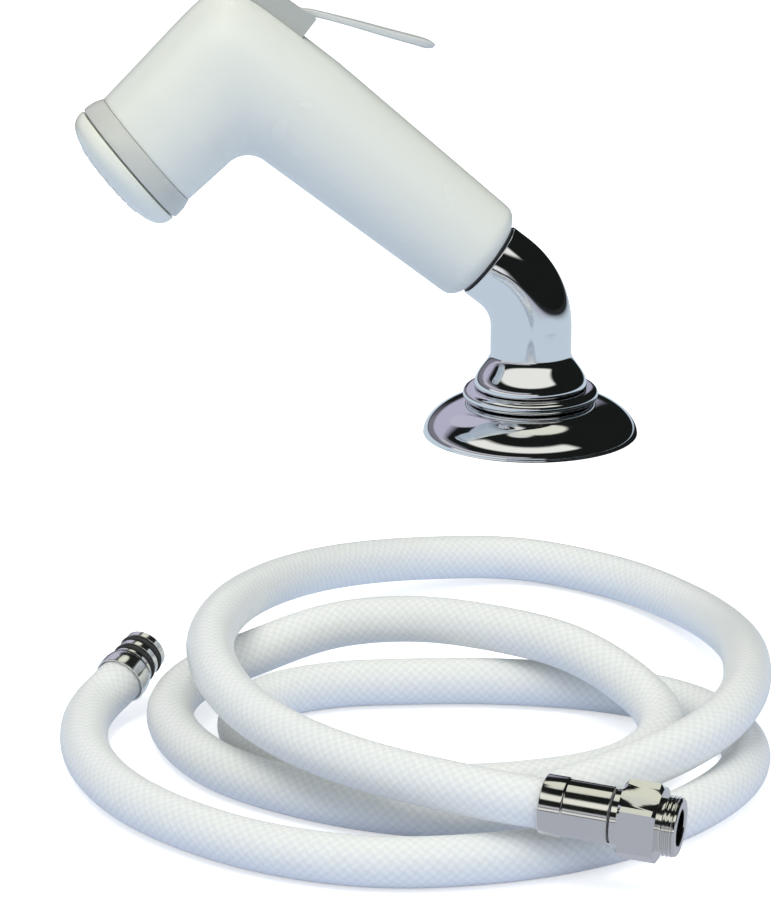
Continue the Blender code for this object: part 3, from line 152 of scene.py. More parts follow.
# ---- hose ----
HOSE_RADIUS = 0.0063
HOSE_POINT_SPACING = 0.0020
BRAID_STRANDS = 15.0
BRAID_LEAD = 0.0396
FERRULE_LENGTH = 0.0172
FERRULE_WALL = 0.0005
FERRULE_COLLAR = 0.0056
FERRULE_COLLAR_WALL = 0.0009
FERRULE_EDGE = 0.0004
UNION_COLLAR_LENGTH = 0.0022
UNION_HEX = 0.0180
UNION_HEX_LENGTH = 0.0095
UNION_GROOVE = 0.0009
UNION_NECK_DEPTH = 0.0009
UNION_THREAD_RADIUS = 0.0074
UNION_THREAD_LENGTH = 0.0038
UNION_THREAD_DEPTH = 0.00055
UNION_THREAD_PITCH = 0.0010
UNION_THREAD_RIDGES = 3
UNION_BORE = 0.0045
UNION_EDGE = 0.0003
UNION_TIP = 0.0002
PLUG_SLEEVE_LENGTH = 0.0056
PLUG_HOSE_DEPTH = 0.0024
PLUG_FLANGE_THICKNESS = 0.0011
PLUG_FLANGE_RADIUS = 0.0055
PLUG_NECK_RADIUS = 0.0045
PLUG_RADIUS = 0.0060
PLUG_LENGTH = 0.0091
PLUG_BORE = 0.0024
PLUG_EDGE = 0.0002
PLUG_SEAL_SECTION = 0.0007
PLUG_SEAL_PLACES = (0.0019, 0.0055)
HOSE_STATIONS = (
    (-0.0090, -0.3865, 0.0209), (-0.0240, -0.3819, 0.0219), (-0.0530, -0.3630, 0.0220),
    (-0.0740, -0.3410, 0.0226), (-0.0880, -0.3140, 0.0238), (-0.0940, -0.2820, 0.0248),
    (-0.0900, -0.2510, 0.0244), (-0.0780, -0.2150, 0.0200), (-0.0600, -0.1840, 0.0145),
    (-0.0360, -0.1620, 0.0095), (-0.0080, -0.1550, 0.0070), (0.0200, -0.1720, 0.0066),
    (0.0380, -0.2020, 0.0085), (0.0470, -0.2400, 0.0135), (0.0485, -0.2800, 0.0195),
    (0.0445, -0.3120, 0.0210), (0.0340, -0.3350, 0.0200), (0.0190, -0.3500, 0.0180),
    (0.0000, -0.3590, 0.0140), (-0.0220, -0.3600, 0.0082), (-0.0450, -0.3540, 0.0065),
    (-0.0700, -0.3420, 0.0065), (-0.0925, -0.3210, 0.0065), (-0.1045, -0.2880, 0.0065),
    (-0.1000, -0.2640, 0.0080), (-0.0820, -0.2490, 0.0115), (-0.0620, -0.2410, 0.0160),
    (-0.0400, -0.2440, 0.0190), (-0.0180, -0.2550, 0.0201), (0.0020, -0.2690, 0.0194),
    (0.0165, -0.2845, 0.0155), (0.0240, -0.3010, 0.0122), (0.0225, -0.3165, 0.0100),
    (0.0110, -0.3295, 0.0078), (-0.0100, -0.3370, 0.0067), (-0.0340, -0.3395, 0.0065),
    (-0.0520, -0.3350, 0.0065), (-0.0690, -0.3260, 0.0065), (-0.0815, -0.3095, 0.0065),
    (-0.0855, -0.2900, 0.0065), (-0.0790, -0.2730, 0.0065), (-0.0630, -0.2630, 0.0065),
    (-0.0420, -0.2600, 0.0065), (-0.0150, -0.2600, 0.0065), (0.0140, -0.2670, 0.0065),
    (0.0350, -0.2815, 0.0065), (0.0455, -0.3060, 0.0065), (0.0430, -0.3300, 0.0065),
    (0.0280, -0.3550, 0.0065), (0.0050, -0.3750, 0.0065), (-0.0220, -0.3860, 0.0065),
    (-0.0520, -0.3880, 0.0065), (-0.0820, -0.3760, 0.0065), (-0.1090, -0.3500, 0.0065),
    (-0.1230, -0.3210, 0.0065), (-0.1265, -0.2950, 0.0066), (-0.1245, -0.2795, 0.0071),
    (-0.1188, -0.2690, 0.0100),
)
UNION_DIRECTION = (0.953, -0.293, -0.066)
PLUG_DIRECTION = (0.450, 0.820, 0.350)

# ---- studio ----
CAMERA_PLACE = (-0.04620427, -1.34234763, 0.39762148)
CAMERA_DIP = 16.7229         # degrees below level
CAMERA_FOCAL_PIXELS = 4242.0
PHOTO_WIDTH_PIXELS = 780.0
SENSOR_WIDTH = 36.0          # millimetres
FLOOR_RADIUS = 3.0
ROOM_PATCHES = (
    # azimuth, where the patch fades in across it, lowest and highest rise, colour
    (-60.0, 0.62, 0.80, 0.02, 0.40, (0.20, 0.20, 0.24)),
    (-30.0, 0.70, 0.82, 0.22, 0.72, (0.50, 0.49, 0.62)),
    (-120.0, 0.45, 0.60, 0.18, 0.30, (0.55, 0.55, 0.60)),
    (-140.0, 0.55, 0.66, -0.05, 0.13, (0.84, 0.84, 0.86)),
    (-165.0, 0.12, 0.22, 0.62, 0.86, (0.92, 0.92, 0.86)),
)
ROOM_SPOTS = (
    # direction, reach, colour
    ((-0.09, 0.10, 0.99), 0.12, (0.72, 0.73, 0.68)),
    ((0.06, 0.33, 0.94), 0.24, (0.80, 0.81, 0.70)),
    ((-0.36, 0.64, 0.68), 0.21, (0.55, 0.54, 0.66)),
)
LAMPS = (
    # name, place, what it is aimed at, side, watts, colour
    ("key", (-0.35, -0.65, 1.55), (-0.03, -0.1, 0.05), 0.9, 12.5, (1.0, 0.98, 0.90)),
    ("fill", (0.9, -1.3, 0.8), (-0.03, -0.2, 0.03), 0.9, 4.0, (1.0, 1.0, 1.0)),
)


# ---- working frames ----

def elbow_centre(along):
    """Middle and tilt of the elbow at a distance along its path from the start of the bend."""
    arc = ELBOW_BEND_RADIUS * ELBOW_ANGLE
    tilt = min(max(along, 0.0), arc) / ELBOW_BEND_RADIUS
    x = -ELBOW_BEND_RADIUS * (1 - math.cos(tilt))
    z = ELBOW_BEND_START + ELBOW_BEND_RADIUS * math.sin(tilt)
    over = along - arc if along > arc else min(along, 0.0)
    return Vector((x - over * math.sin(tilt), 0.0, z + over * math.cos(tilt))), tilt


def leaning(origin, tilt):
    """A frame at the origin, leaning towards -X."""
    return Matrix.Translation(origin) @ Matrix.Rotation(-tilt, 4, "Y")


def aimed(origin, direction):
    """A frame at the origin, with its +Z in the direction."""
    return Matrix.Translation(origin) @ Vector(direction).to_track_quat("Z", "Y").to_matrix().to_4x4()


handle_end, lean = elbow_centre(ELBOW_BEND_RADIUS * ELBOW_ANGLE + ELBOW_REACH + LINER_LIP + 2 * GAP)
DECK = Matrix.Identity(4)
SOCKET = leaning(handle_end, lean)
HANDSET = SOCKET @ Matrix.Rotation(HANDSET_TURN, 4, "Z")
sine, cosine = math.sin(FACE_TILT), math.cos(FACE_TILT)
FACE = HANDSET @ Matrix.Translation((-FACE_DEPTH, 0, FACE_ALONG)) @ Matrix(
    ((sine, 0, -cosine, 0), (0, 1, 0, 0), (cosine, 0, sine, 0), (0, 0, 0, 1)))
UNION = aimed(Vector(HOSE_STATIONS[0]), UNION_DIRECTION)
PLUG = aimed(Vector(HOSE_STATIONS[-1]), PLUG_DIRECTION)


# ---- shader groups ----

def group(name, inputs, outputs):
    """A shader node group with named sockets; returns its tree, input node and output node."""
    tree = bpy.data.node_groups.new(name, "ShaderNodeTree")
    for socket, kind, value in inputs:
        made = tree.interface.new_socket(socket, in_out="INPUT", socket_type=kind)
        made.default_value = value
    for socket, kind in outputs:
        tree.interface.new_socket(socket, in_out="OUTPUT", socket_type=kind)
    return tree, tree.nodes.new("NodeGroupInput"), tree.nodes.new("NodeGroupOutput")


def node(tree, kind, **settings):
    made = tree.nodes.new(kind)
    for name, value in settings.items():
        setattr(made, name, value)
    return made


def combined(tree, operation, *values):
    """A Math node on sockets or plain numbers; returns its output."""
    made = node(tree, "ShaderNodeMath", operation=operation)
    for index, value in enumerate(values):
        if isinstance(value, (int, float)):
            made.inputs[index].default_value = value
        else:
            tree.links.new(value, made.inputs[index])
    return made.outputs[0]


def noise(tree, vector, scale, detail):
    made = node(tree, "ShaderNodeTexNoise")
    tree.links.new(vector, made.inputs["Vector"])
    tree.links.new(scale, made.inputs["Scale"])
    made.inputs["Detail"].default_value = detail
    return made.outputs["Fac"]


def mixed(tree, share, first, second):
    """A colour from the first, where the share is 0, to the second, where it is 1."""
    made = node(tree, "ShaderNodeMix", data_type="RGBA")
    tree.links.new(share, made.inputs[0])
    for index, colour in ((6, first), (7, second)):
        if isinstance(colour, tuple):
            made.inputs[index].default_value = (*colour, 1.0)
        else:
            tree.links.new(colour, made.inputs[index])
    return made.outputs[2]


def remapped(tree, value, low, high, to_low=0.0, to_high=1.0):
    """The value moved from the range low to high on to another range, and kept inside it."""
    made = node(tree, "ShaderNodeMapRange", clamp=True)
    tree.links.new(value, made.inputs[0])
    for index, number in enumerate((low, high, to_low, to_high), 1):
        made.inputs[index].default_value = number
    return made.outputs[0]


def distance_from(tree, vector, centre):
    made = node(tree, "ShaderNodeVectorMath", operation="DISTANCE")
    made.inputs[1].default_value = centre
    tree.links.new(vector, made.inputs[0])
    return made.outputs["Value"]


def make_tone_group():
    """Slow drift of a surface's colour, with a few faint specks."""
    specks_to_a_patch, speck_strength = 45.0, 0.9
    tree, given, out = group(
        "surface_tone",
        (
            ("Colour", "NodeSocketColor", (0.8, 0.8, 0.8, 1.0)),
            ("Deeper Colour", "NodeSocketColor", (0.7, 0.7, 0.7, 1.0)),
            ("Amount", "NodeSocketFloat", 0.3),
            ("Patch Size", "NodeSocketFloat", 0.02),
        ),
        (("Colour", "NodeSocketColor"),),
    )
    place = node(tree, "ShaderNodeTexCoord").outputs["Object"]
    scale = combined(tree, "DIVIDE", 1.0, given.outputs["Patch Size"])
    slow = noise(tree, place, scale, 1.0)
    fine = noise(tree, place, combined(tree, "MULTIPLY", scale, specks_to_a_patch), 2.0)
    drift = combined(tree, "ADD", slow, combined(tree, "MULTIPLY", fine, speck_strength))
    share = combined(tree, "MULTIPLY", drift, given.outputs["Amount"])
    tone = mixed(tree, share, given.outputs["Colour"], given.outputs["Deeper Colour"])
    tree.links.new(tone, out.inputs["Colour"])
    return tree


def make_touch_group():
    """Handling: patches where the surface is a little duller, and hairline scuffs."""
    hairs_to_a_mark, hair_dullness = 60.0, 0.6
    tree, given, out = group(
        "handling_marks",
        (
            ("Clean Roughness", "NodeSocketFloat", 0.25),
            ("Dull Roughness", "NodeSocketFloat", 0.40),
            ("Mark Size", "NodeSocketFloat", 0.012),
            ("Scuffs", "NodeSocketFloat", 0.5),
        ),
        (("Roughness", "NodeSocketFloat"), ("Height", "NodeSocketFloat")),
    )
    place = node(tree, "ShaderNodeTexCoord").outputs["Object"]
    scale = combined(tree, "DIVIDE", 1.0, given.outputs["Mark Size"])
    smears = remapped(tree, noise(tree, place, scale, 1.0), 0.20, 0.85)
    stretch = node(tree, "ShaderNodeMapping")
    stretch.inputs["Rotation"].default_value = (0.4, 0.9, 0.3)
    stretch.inputs["Scale"].default_value = (1.0, 1.0, 0.04)
    tree.links.new(place, stretch.inputs["Vector"])
    hairs = noise(tree, stretch.outputs[0], combined(tree, "MULTIPLY", scale, hairs_to_a_mark), 1.0)
    hairs = remapped(tree, hairs, 0.66, 0.74)
    hairs = combined(tree, "MULTIPLY", combined(tree, "MULTIPLY", hairs, smears), given.outputs["Scuffs"])
    dull = combined(tree, "ADD", smears, combined(tree, "MULTIPLY", hairs, hair_dullness))
    dull = combined(tree, "MINIMUM", dull, 1.0)
    span = combined(tree, "SUBTRACT", given.outputs["Dull Roughness"], given.outputs["Clean Roughness"])
    dull = combined(tree, "MULTIPLY", dull, span)
    rough = combined(tree, "ADD", given.outputs["Clean Roughness"], dull)
    tree.links.new(rough, out.inputs["Roughness"])
    tree.links.new(combined(tree, "MULTIPLY", hairs, -1.0), out.inputs["Height"])
    return tree


def make_grain_group():
    """Very fine moulded texture over a slow unevenness."""
    grains_to_a_wave = 0.03
    tree, given, out = group(
        "moulded_grain",
        (("Grain Size", "NodeSocketFloat", 0.0006), ("Waviness", "NodeSocketFloat", 0.3)),
        (("Height", "NodeSocketFloat"),),
    )
    place = node(tree, "ShaderNodeTexCoord").outputs["Object"]
    scale = combined(tree, "DIVIDE", 1.0, given.outputs["Grain Size"])
    fine = noise(tree, place, scale, 2.0)
    slow = noise(tree, place, combined(tree, "MULTIPLY", scale, grains_to_a_wave), 1.0)
    waves = combined(tree, "MULTIPLY", slow, given.outputs["Waviness"])
    tree.links.new(combined(tree, "ADD", fine, waves), out.inputs["Height"])
    return tree


def make_braid_group():
    """Yarn under a clear cover: two sets of strands wind opposite ways and pass over and under each other."""
    tree, given, out = group(
        "hose_braid",
        (("Strands", "NodeSocketFloat", BRAID_STRANDS), ("Lead", "NodeSocketFloat", BRAID_LEAD)),
        (("Height", "NodeSocketFloat"), ("Yarn", "NodeSocketFloat")),
    )
    place = node(tree, "ShaderNodeSeparateXYZ")
    tree.links.new(node(tree, "ShaderNodeUVMap", uv_map="along_round").outputs[0], place.inputs[0])
    along = combined(tree, "DIVIDE", place.outputs[0], given.outputs["Lead"])
    bands, halves = [], []
    for operation in ("ADD", "SUBTRACT"):
        winding = combined(tree, operation, along, place.outputs[1])
        phase = combined(tree, "MULTIPLY", winding, given.outputs["Strands"])
        wave = combined(tree, "COSINE", combined(tree, "MULTIPLY", phase, 2 * math.pi))
        bands.append(combined(tree, "MULTIPLY_ADD", wave, 0.5, 0.5))
        halves.append(combined(tree, "COSINE", combined(tree, "MULTIPLY", phase, math.pi)))
    over = combined(tree, "MULTIPLY_ADD", combined(tree, "MULTIPLY", *halves), 0.5, 0.5)
    gain = combined(tree, "MULTIPLY", over, combined(tree, "SUBTRACT", *bands))
    weave = combined(tree, "ADD", bands[1], gain)
    tree.links.new(weave, out.inputs["Height"])
    tree.links.new(remapped(tree, weave, 0.15, 0.85), out.inputs["Yarn"])
    return tree


TONE = make_tone_group()
TOUCH = make_touch_group()
GRAIN = make_grain_group()
BRAID = make_braid_group()


# ---- materials ----

class Finish:
    """A material with one Principled shader, and short ways to place the shared groups in it."""

    def __init__(self, name, **sockets):
        self.material = bpy.data.materials.new(name)
        self.material.use_nodes = True
        self.tree = self.material.node_tree
        self.shader = self.tree.nodes["Principled BSDF"]
        for socket, value in sockets.items():
            self.shader.inputs[socket.replace("_", " ")].default_value = value

    def place(self, tree, **values):
        made = self.tree.nodes.new("ShaderNodeGroup")
        made.node_tree = tree
        for socket, value in values.items():
            given = made.inputs[socket.replace("_", " ")]
            given.default_value = (*value, 1.0) if isinstance(value, tuple) else value
        return made

    def tone(self, colour, deeper, amount, size):
        made = self.place(TONE, Colour=colour, Deeper_Colour=deeper, Amount=amount, Patch_Size=size)
        self.tree.links.new(made.outputs["Colour"], self.shader.inputs["Base Color"])

    def touch(self, clean, dull, size, scuffs):
        """Places the handling marks; returns the height of their scuffs."""
        made = self.place(TOUCH, Clean_Roughness=clean, Dull_Roughness=dull, Mark_Size=size, Scuffs=scuffs)
        self.tree.links.new(made.outputs["Roughness"], self.shader.inputs["Roughness"])
        return made.outputs["Height"]

    def bump(self, height, distance, under=None):
        """Bumps the surface by the height, on top of another bump if one is given."""
        made = node(self.tree, "ShaderNodeBump")
        made.inputs["Distance"].default_value = distance
        self.tree.links.new(height, made.inputs["Height"])
        if under:
            self.tree.links.new(under, made.inputs["Normal"])
        self.tree.links.new(made.outputs[0], self.shader.inputs["Normal"])
        return made.outputs[0]


def plastic(name, colour, deeper, clean, dull, grain=0.000012, **sockets):
    """Moulded plastic or rubber: two tones, how dull it is clean and handled, and the grain's height."""
    made = Finish(name, IOR=1.5, **sockets)
    made.tone(colour, deeper, 0.35, 0.03)
    scuffs = made.touch(clean, dull, 0.015, 0.5)
    texture = made.place(GRAIN, Grain_Size=0.0007, Waviness=2.0).outputs["Height"]
    made.bump(scuffs, 0.000004, under=made.bump(texture, grain))
    return made.material


def metal(name, colour, deeper, clean, dull, size=0.008, scuffs=1.0):
    """Metal: two tones, how dull it is clean and handled, and the size and strength of its marks."""
    made = Finish(name, Metallic=1.0)
    made.tone(colour, deeper, 0.5, 0.012)
    made.bump(made.touch(clean, dull, size, scuffs), 0.000002)
    return made.material


def braided_hose():
    """Soft clear cover over white yarn, a little darker in the gaps of the braid."""
    made = Finish(
        "braided_clear_pvc", Roughness=0.42, IOR=1.5, Coat_Weight=0.35, Coat_Roughness=0.22, Coat_IOR=1.45,
        Subsurface_Weight=0.7, Subsurface_Scale=1.0, Subsurface_Radius=(0.005, 0.005, 0.005),
    )
    braid = made.place(BRAID, Strands=BRAID_STRANDS, Lead=BRAID_LEAD)
    yarn = made.place(TONE, Colour=(0.880, 0.882, 0.840), Deeper_Colour=(0.855, 0.860, 0.830), Amount=0.5,
                      Patch_Size=0.008)
    colour = mixed(made.tree, braid.outputs["Yarn"], (0.790, 0.797, 0.782), yarn.outputs["Colour"])
    made.tree.links.new(colour, made.shader.inputs["Base Color"])
    made.bump(braid.outputs["Height"], 0.00010)
    return made.material


FINISHES = {
    "white": plastic("white_abs", (0.808, 0.814, 0.732), (0.786, 0.796, 0.722), 0.25, 0.28,
                     Subsurface_Weight=0.08, Subsurface_Radius=(0.003, 0.003, 0.003)),
    "ring": plastic("warm_grey_ring", (0.605, 0.610, 0.555), (0.570, 0.578, 0.535), 0.26, 0.32),
    "plate": plastic("pearl_spray_plate", (0.850, 0.855, 0.748), (0.825, 0.830, 0.732), 0.20, 0.26),
    # the bracket's own grey, painted darker than the lever's as painted shade on its side
    "bracket": plastic("grey_bracket_with_painted_shade", (0.470, 0.487, 0.450), (0.435, 0.452, 0.425), 0.34, 0.42, 0.00002),
    "blade": plastic("light_grey_lever", (0.655, 0.665, 0.630), (0.620, 0.632, 0.605), 0.30, 0.38, 0.00002),
    "nylon": plastic("natural_nylon", (0.80, 0.80, 0.765), (0.76, 0.76, 0.73), 0.45, 0.6, 0.00003),
    "rubber": plastic("black_rubber", (0.030, 0.030, 0.031), (0.045, 0.045, 0.046), 0.55, 0.75, 0.00004),
    "dark": plastic("black_nylon", (0.045, 0.045, 0.047), (0.060, 0.060, 0.062), 0.40, 0.55, 0.00002),
    # painted shade: dark grey for the walls of the jet holes, standing in for the shade inside them
    "shade": plastic("painted_jet_hole_shade", (0.10, 0.10, 0.10), (0.06, 0.06, 0.06), 0.7, 0.9),
    "chrome": metal("polished_chrome", (0.86, 0.865, 0.875), (0.80, 0.81, 0.83), 0.035, 0.075, 0.010, 0.6),
    "fitting": metal("plated_fitting", (0.84, 0.84, 0.80), (0.77, 0.77, 0.74), 0.06, 0.12, 0.004),
    "satin": metal("satin_plug", (0.90, 0.90, 0.87), (0.84, 0.84, 0.82), 0.12, 0.20, 0.004),
    "steel": metal("stainless_steel", (0.60, 0.60, 0.61), (0.52, 0.52, 0.53), 0.28, 0.40),
    "brass": metal("machined_brass", (0.70, 0.55, 0.30), (0.60, 0.46, 0.24), 0.26, 0.38),
    "hose": braided_hose(),
}


# ---- shapes ----

def linked_object(name, data):
    made = bpy.data.objects.new(name, data)
    bpy.context.scene.collection.objects.link(made)
    return made


def mesh_object(name, mesh, finish, sharp=35.0):
    """An object of the mesh, smooth apart from edges sharper than the given degrees."""
    bmesh.ops.recalc_face_normals(mesh, faces=mesh.faces)
    data = bpy.data.meshes.new(name)
    mesh.to_mesh(data)
    mesh.free()
    data.shade_smooth()
    data.set_sharp_from_angle(angle=math.radians(sharp))
    if finish:
        data.materials.append(FINISHES[finish])
    return linked_object(name, data)


def join_rings(mesh, lower, upper):
    """A band of faces between two rings with the same number of points."""
    for index in range(len(lower)):
        after = (index + 1) % len(lower)
        mesh.faces.new((lower[index], lower[after], upper[after], upper[index]))


def skin(name, rings, matrix, finish=None, closed=False, sharp=35.0):
    """One closed body through rings of points given in the matrix's frame."""
    mesh = bmesh.new()
    rows = [[mesh.verts.new(matrix @ point) for point in ring] for ring in rings]
    for lower, upper in zip(rows, rows[1:]):
        join_rings(mesh, lower, upper)
    if closed:
        join_rings(mesh, rows[-1], rows[0])
    else:
        mesh.faces.new(rows[0])
        mesh.faces.new(rows[-1])
    return mesh_object(name, mesh, finish, sharp)


def circle(radius, height, sides):
    turn = 2 * math.pi / sides
    return [Vector((radius * math.cos(turn * k), radius * math.sin(turn * k), height)) for k in range(sides)]


def rounded(outline, radius):
    """The closed outline with an arc at each corner that is sharper than flat_angle."""
    flat_angle = math.radians(155)
    longest_share = 0.45
    steps = 4
    result = []
    for index, corner in enumerate(outline):
        here = Vector(corner)
        before = Vector(outline[index - 1]) - here
        after = Vector(outline[(index + 1) % len(outline)]) - here
        opening = before.angle(after)
        if opening > flat_angle:
            result.append(corner)
            continue
        reach = min(radius / math.tan(opening / 2), longest_share * min(before.length, after.length))
        start, end = here + before.normalized() * reach, here + after.normalized() * reach
        for step in range(steps + 1):
            share = step / steps
            first, second = start.lerp(here, share), here.lerp(end, share)
            result.append(tuple(first.lerp(second, share)))
    return result


def turned(name, outline, matrix, finish, sides, soft=0.0):
    """A closed outline of radii and heights, turned round the frame's Z; soft rounds its corners."""
    if soft:
        outline = rounded(outline, soft)
    rings = [circle(radius, height, sides) for radius, height in outline]
    return skin(name, rings, matrix, finish, closed=True, sharp=50.0)


def quarter_arch(inner, outer, low, high, power, steps):
    """Points from the outer radius at the low height up to the inner radius at the high one."""
    points = []
    for step in range(steps + 1):
        angle = 0.5 * math.pi * step / steps
        across = math.cos(angle) ** (2 / power) if step < steps else 0.0
        up = math.sin(angle) ** (2 / power) if step else 0.0
        points.append((inner + (outer - inner) * across, low + (high - low) * up))
    return points


def block(low, high, matrix):
    corners = ((low[0], low[1]), (high[0], low[1]), (high[0], high[1]), (low[0], high[1]))
    rings = [[Vector((x, y, height)) for x, y in corners] for height in (low[2], high[2])]
    return skin("cutting_block", rings, matrix)


def bake(obj):
    """Replaces the object's mesh by what its modifiers make of it."""
    depsgraph = bpy.context.evaluated_depsgraph_get()
    data = bpy.data.meshes.new_from_object(obj.evaluated_get(depsgraph))
    obj.modifiers.clear()
    obj.data = data


def carve(target, *steps):
    """Joins shapes to the target or cuts them out of it, one after the other, and deletes them."""
    for operation, shape in steps:
        modifier = target.modifiers.new("carve", "BOOLEAN")
        modifier.operation = operation
        modifier.object = shape
        modifier.solver = "EXACT"
    bake(target)
    for operation, shape in steps:
        bpy.data.objects.remove(shape)


def soften(obj, width, angle=30.0):
    """Rounds the edges that are sharper than the angle, in degrees."""
    modifier = obj.modifiers.new("edges", "BEVEL")
    modifier.width = width
    modifier.segments = 3
    modifier.limit_method = "ANGLE"
    modifier.angle_limit = math.radians(angle)
    modifier.harden_normals = True
    bake(obj)


# ---- holder ----

def make_flange():
    bore = SPIGOT_RADIUS + GAP
    skirt = FLANGE_RADIUS - FLANGE_WALL
    under = FLANGE_SEAT_HEIGHT - FLANGE_WALL
    outside = quarter_arch(FLANGE_SEAT_RADIUS, FLANGE_RADIUS - FLANGE_EDGE / 2, FLANGE_RIM_HEIGHT,
                           FLANGE_SEAT_HEIGHT, FLANGE_OUTER_POWER, 36)
    inside = quarter_arch(FLANGE_SEAT_RADIUS, skirt, GASKET_THICKNESS + GAP, under, FLANGE_INNER_POWER, 12)
    outline = [(FLANGE_RADIUS - FLANGE_EDGE, 0.0), (FLANGE_RADIUS, FLANGE_EDGE)] + outside
    outline += [(bore, FLANGE_SEAT_HEIGHT), (bore, under)] + inside[::-1] + [(skirt, 0.0)]
    flange = turned("flange", outline, DECK, "chrome", 160)
    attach(flange, "holder")
    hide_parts("flange_cover")


def make_neck_ring():
    bore = SPIGOT_RADIUS + GAP
    half = NECK_RING_THICKNESS / 2
    low = FLANGE_SEAT_HEIGHT + GAP
    centre_radius, centre_height = NECK_RING_RADIUS - half, low + half
    outline = [(bore, low)]
    for step in range(21):
        angle = math.pi * (step / 20 - 0.5)
        outline.append((centre_radius + half * math.cos(angle), centre_height + half * math.sin(angle)))
    outline.append((bore, low + NECK_RING_THICKNESS))
    ring = turned("ring_under_elbow", outline, DECK, "chrome", 128)
    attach(ring, "holder")
    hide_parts("neck_ring")


def make_elbow():
    """Spigot, bell skirt, upright, bend and mouth, and the bore back down through them."""
    sides = 96
    rim = ELBOW_EDGE
    quarter = [math.pi / 2 * step / 4 for step in range(5)]
    bell = FLANGE_SEAT_HEIGHT + NECK_RING_THICKNESS + 2 * GAP
    upright = [(SPIGOT_RADIUS, SPIGOT_FOOT), (SPIGOT_RADIUS, bell), (BELL_RADIUS - rim, bell)]
    for angle in quarter[1:]:
        upright.append((BELL_RADIUS - rim + rim * math.sin(angle), bell + rim - rim * math.cos(angle)))
    for step in range(1, 21):
        share = step / 20
        flare = (0.5 + 0.5 * math.cos(math.pi * share)) ** BELL_FLARE_POWER
        height = bell + 2 * GAP + (BELL_HEIGHT - 2 * GAP) * share
        upright.append((ELBOW_RADIUS + (BELL_RADIUS - ELBOW_RADIUS) * flare, height))
    rings = [circle(radius, height, sides) for radius, height in upright]
    arc = ELBOW_BEND_RADIUS * ELBOW_ANGLE
    mouth = arc + ELBOW_REACH
    stations = [arc * step / 36 for step in range(37)]
    places = [(along, ELBOW_RADIUS) for along in stations]
    for angle in quarter:
        places.append((mouth - rim + rim * math.sin(angle), ELBOW_RADIUS - rim + rim * math.cos(angle)))
    places += [(mouth, ELBOW_BORE)] + [(along, ELBOW_BORE) for along in stations[::-1]]
    for along, radius in places:
        turn = leaning(*elbow_centre(along))
        rings.append([turn @ point for point in circle(radius, 0.0, sides)])
    rings.append(circle(ELBOW_BORE, SPIGOT_FOOT, sides))
    elbow = skin("chrome_elbow", rings, DECK, "chrome", closed=True)
    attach(elbow, "holder")
    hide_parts("elbow_socket")


def make_liner():
    lip = -GAP - LINER_LIP
    outline = (
        (LINER_BORE, -GAP), (ELBOW_RADIUS - 2 * GAP, -GAP), (ELBOW_RADIUS - 2 * GAP, lip),
        (LINER_RADIUS, lip), (LINER_RADIUS, lip - LINER_LENGTH), (LINER_BORE, lip - LINER_LENGTH),
    )
    liner = turned("mouth_liner", outline, SOCKET, "dark", 96, LINER_EDGE)
    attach(liner, "holder")
    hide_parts("socket_liner")


# ---- hand spray ----

def handle_radius(along):
    radius = HANDLE_RADIUS + (HANDLE_HEAD_RADIUS - HANDLE_RADIUS) * along / HANDLE_LENGTH
    if along < HANDLE_ROUNDING:
        radius -= (HANDLE_RADIUS - HANDLE_END_RADIUS) * (1 - along / HANDLE_ROUNDING) ** 3
    return radius


def oval(centre_x, centre_z, half_in, half_across, angle):
    """A ring round the body: half_across along Y, and half_in along a line at the angle above +X."""
    points = []
    for index in range(BODY_SIDES):
        turn = 2 * math.pi * index / BODY_SIDES
        inward = half_in * math.cos(turn)
        points.append(Vector((centre_x + inward * math.cos(angle), half_across * math.sin(turn),
                              centre_z + inward * math.sin(angle))))
    return points


def face_oval(radius, height):
    x = -FACE_DEPTH - height * math.cos(FACE_TILT)
    z = FACE_ALONG + height * math.sin(FACE_TILT)
    return oval(x, z, radius, radius, math.pi / 2 - FACE_TILT)


def shell_rings(inset, start):
    """Rings along the handle from the start, round the bend and down the head, drawn in by the inset."""
    rings = []
    rounding = [HANDLE_ROUNDING * (step / 14) ** HANDLE_RING_SPACING for step in range(15)]
    length = [HANDLE_ROUNDING + (HANDLE_LENGTH - HANDLE_ROUNDING) * step / 24 for step in range(1, 24)]
    for along in [place for place in rounding + length if place >= start]:
        radius = handle_radius(along) - inset
        rings.append(oval(HANDLE_DRIFT * along / HANDLE_LENGTH, along, radius, radius, 0.0))

    pivot_x = HANDLE_DRIFT - HANDLE_HEAD_RADIUS - INNER_FILLET
    inner = INNER_FILLET + inset
    steps = 48
    for step in range(steps + 1):
        angle = HEAD_ANGLE * step / steps
        to_top = (INNER_FILLET + 2 * HANDLE_HEAD_RADIUS) / math.cos(angle)
        to_back = (INNER_FILLET + 2 * HEAD_RADIUS) / math.cos(HEAD_ANGLE - angle)
        outer = (to_top ** -CORNER_POWER + to_back ** -CORNER_POWER) ** (-1 / CORNER_POWER) - inset
        across = HANDLE_HEAD_RADIUS + (HEAD_RADIUS - HANDLE_HEAD_RADIUS) * step / steps - inset
        middle = (outer + inner) / 2
        rings.append(oval(pivot_x + middle * math.cos(angle), HANDLE_LENGTH + middle * math.sin(angle),
                          (outer - inner) / 2, across, angle))

    middle = INNER_FILLET + HEAD_RADIUS
    begin_x = pivot_x + middle * math.cos(HEAD_ANGLE)
    begin_z = HANDLE_LENGTH + middle * math.sin(HEAD_ANGLE)
    for step in range(1, 13):
        share = step / 12
        radius = HEAD_RADIUS + (FACE_RADIUS - HEAD_RADIUS) * share - inset
        angle = HEAD_ANGLE + (math.pi / 2 - FACE_TILT - HEAD_ANGLE) * share
        rings.append(oval(begin_x + (-FACE_DEPTH - begin_x) * share, begin_z + (FACE_ALONG - begin_z) * share,
                          radius, radius, angle))
    return rings


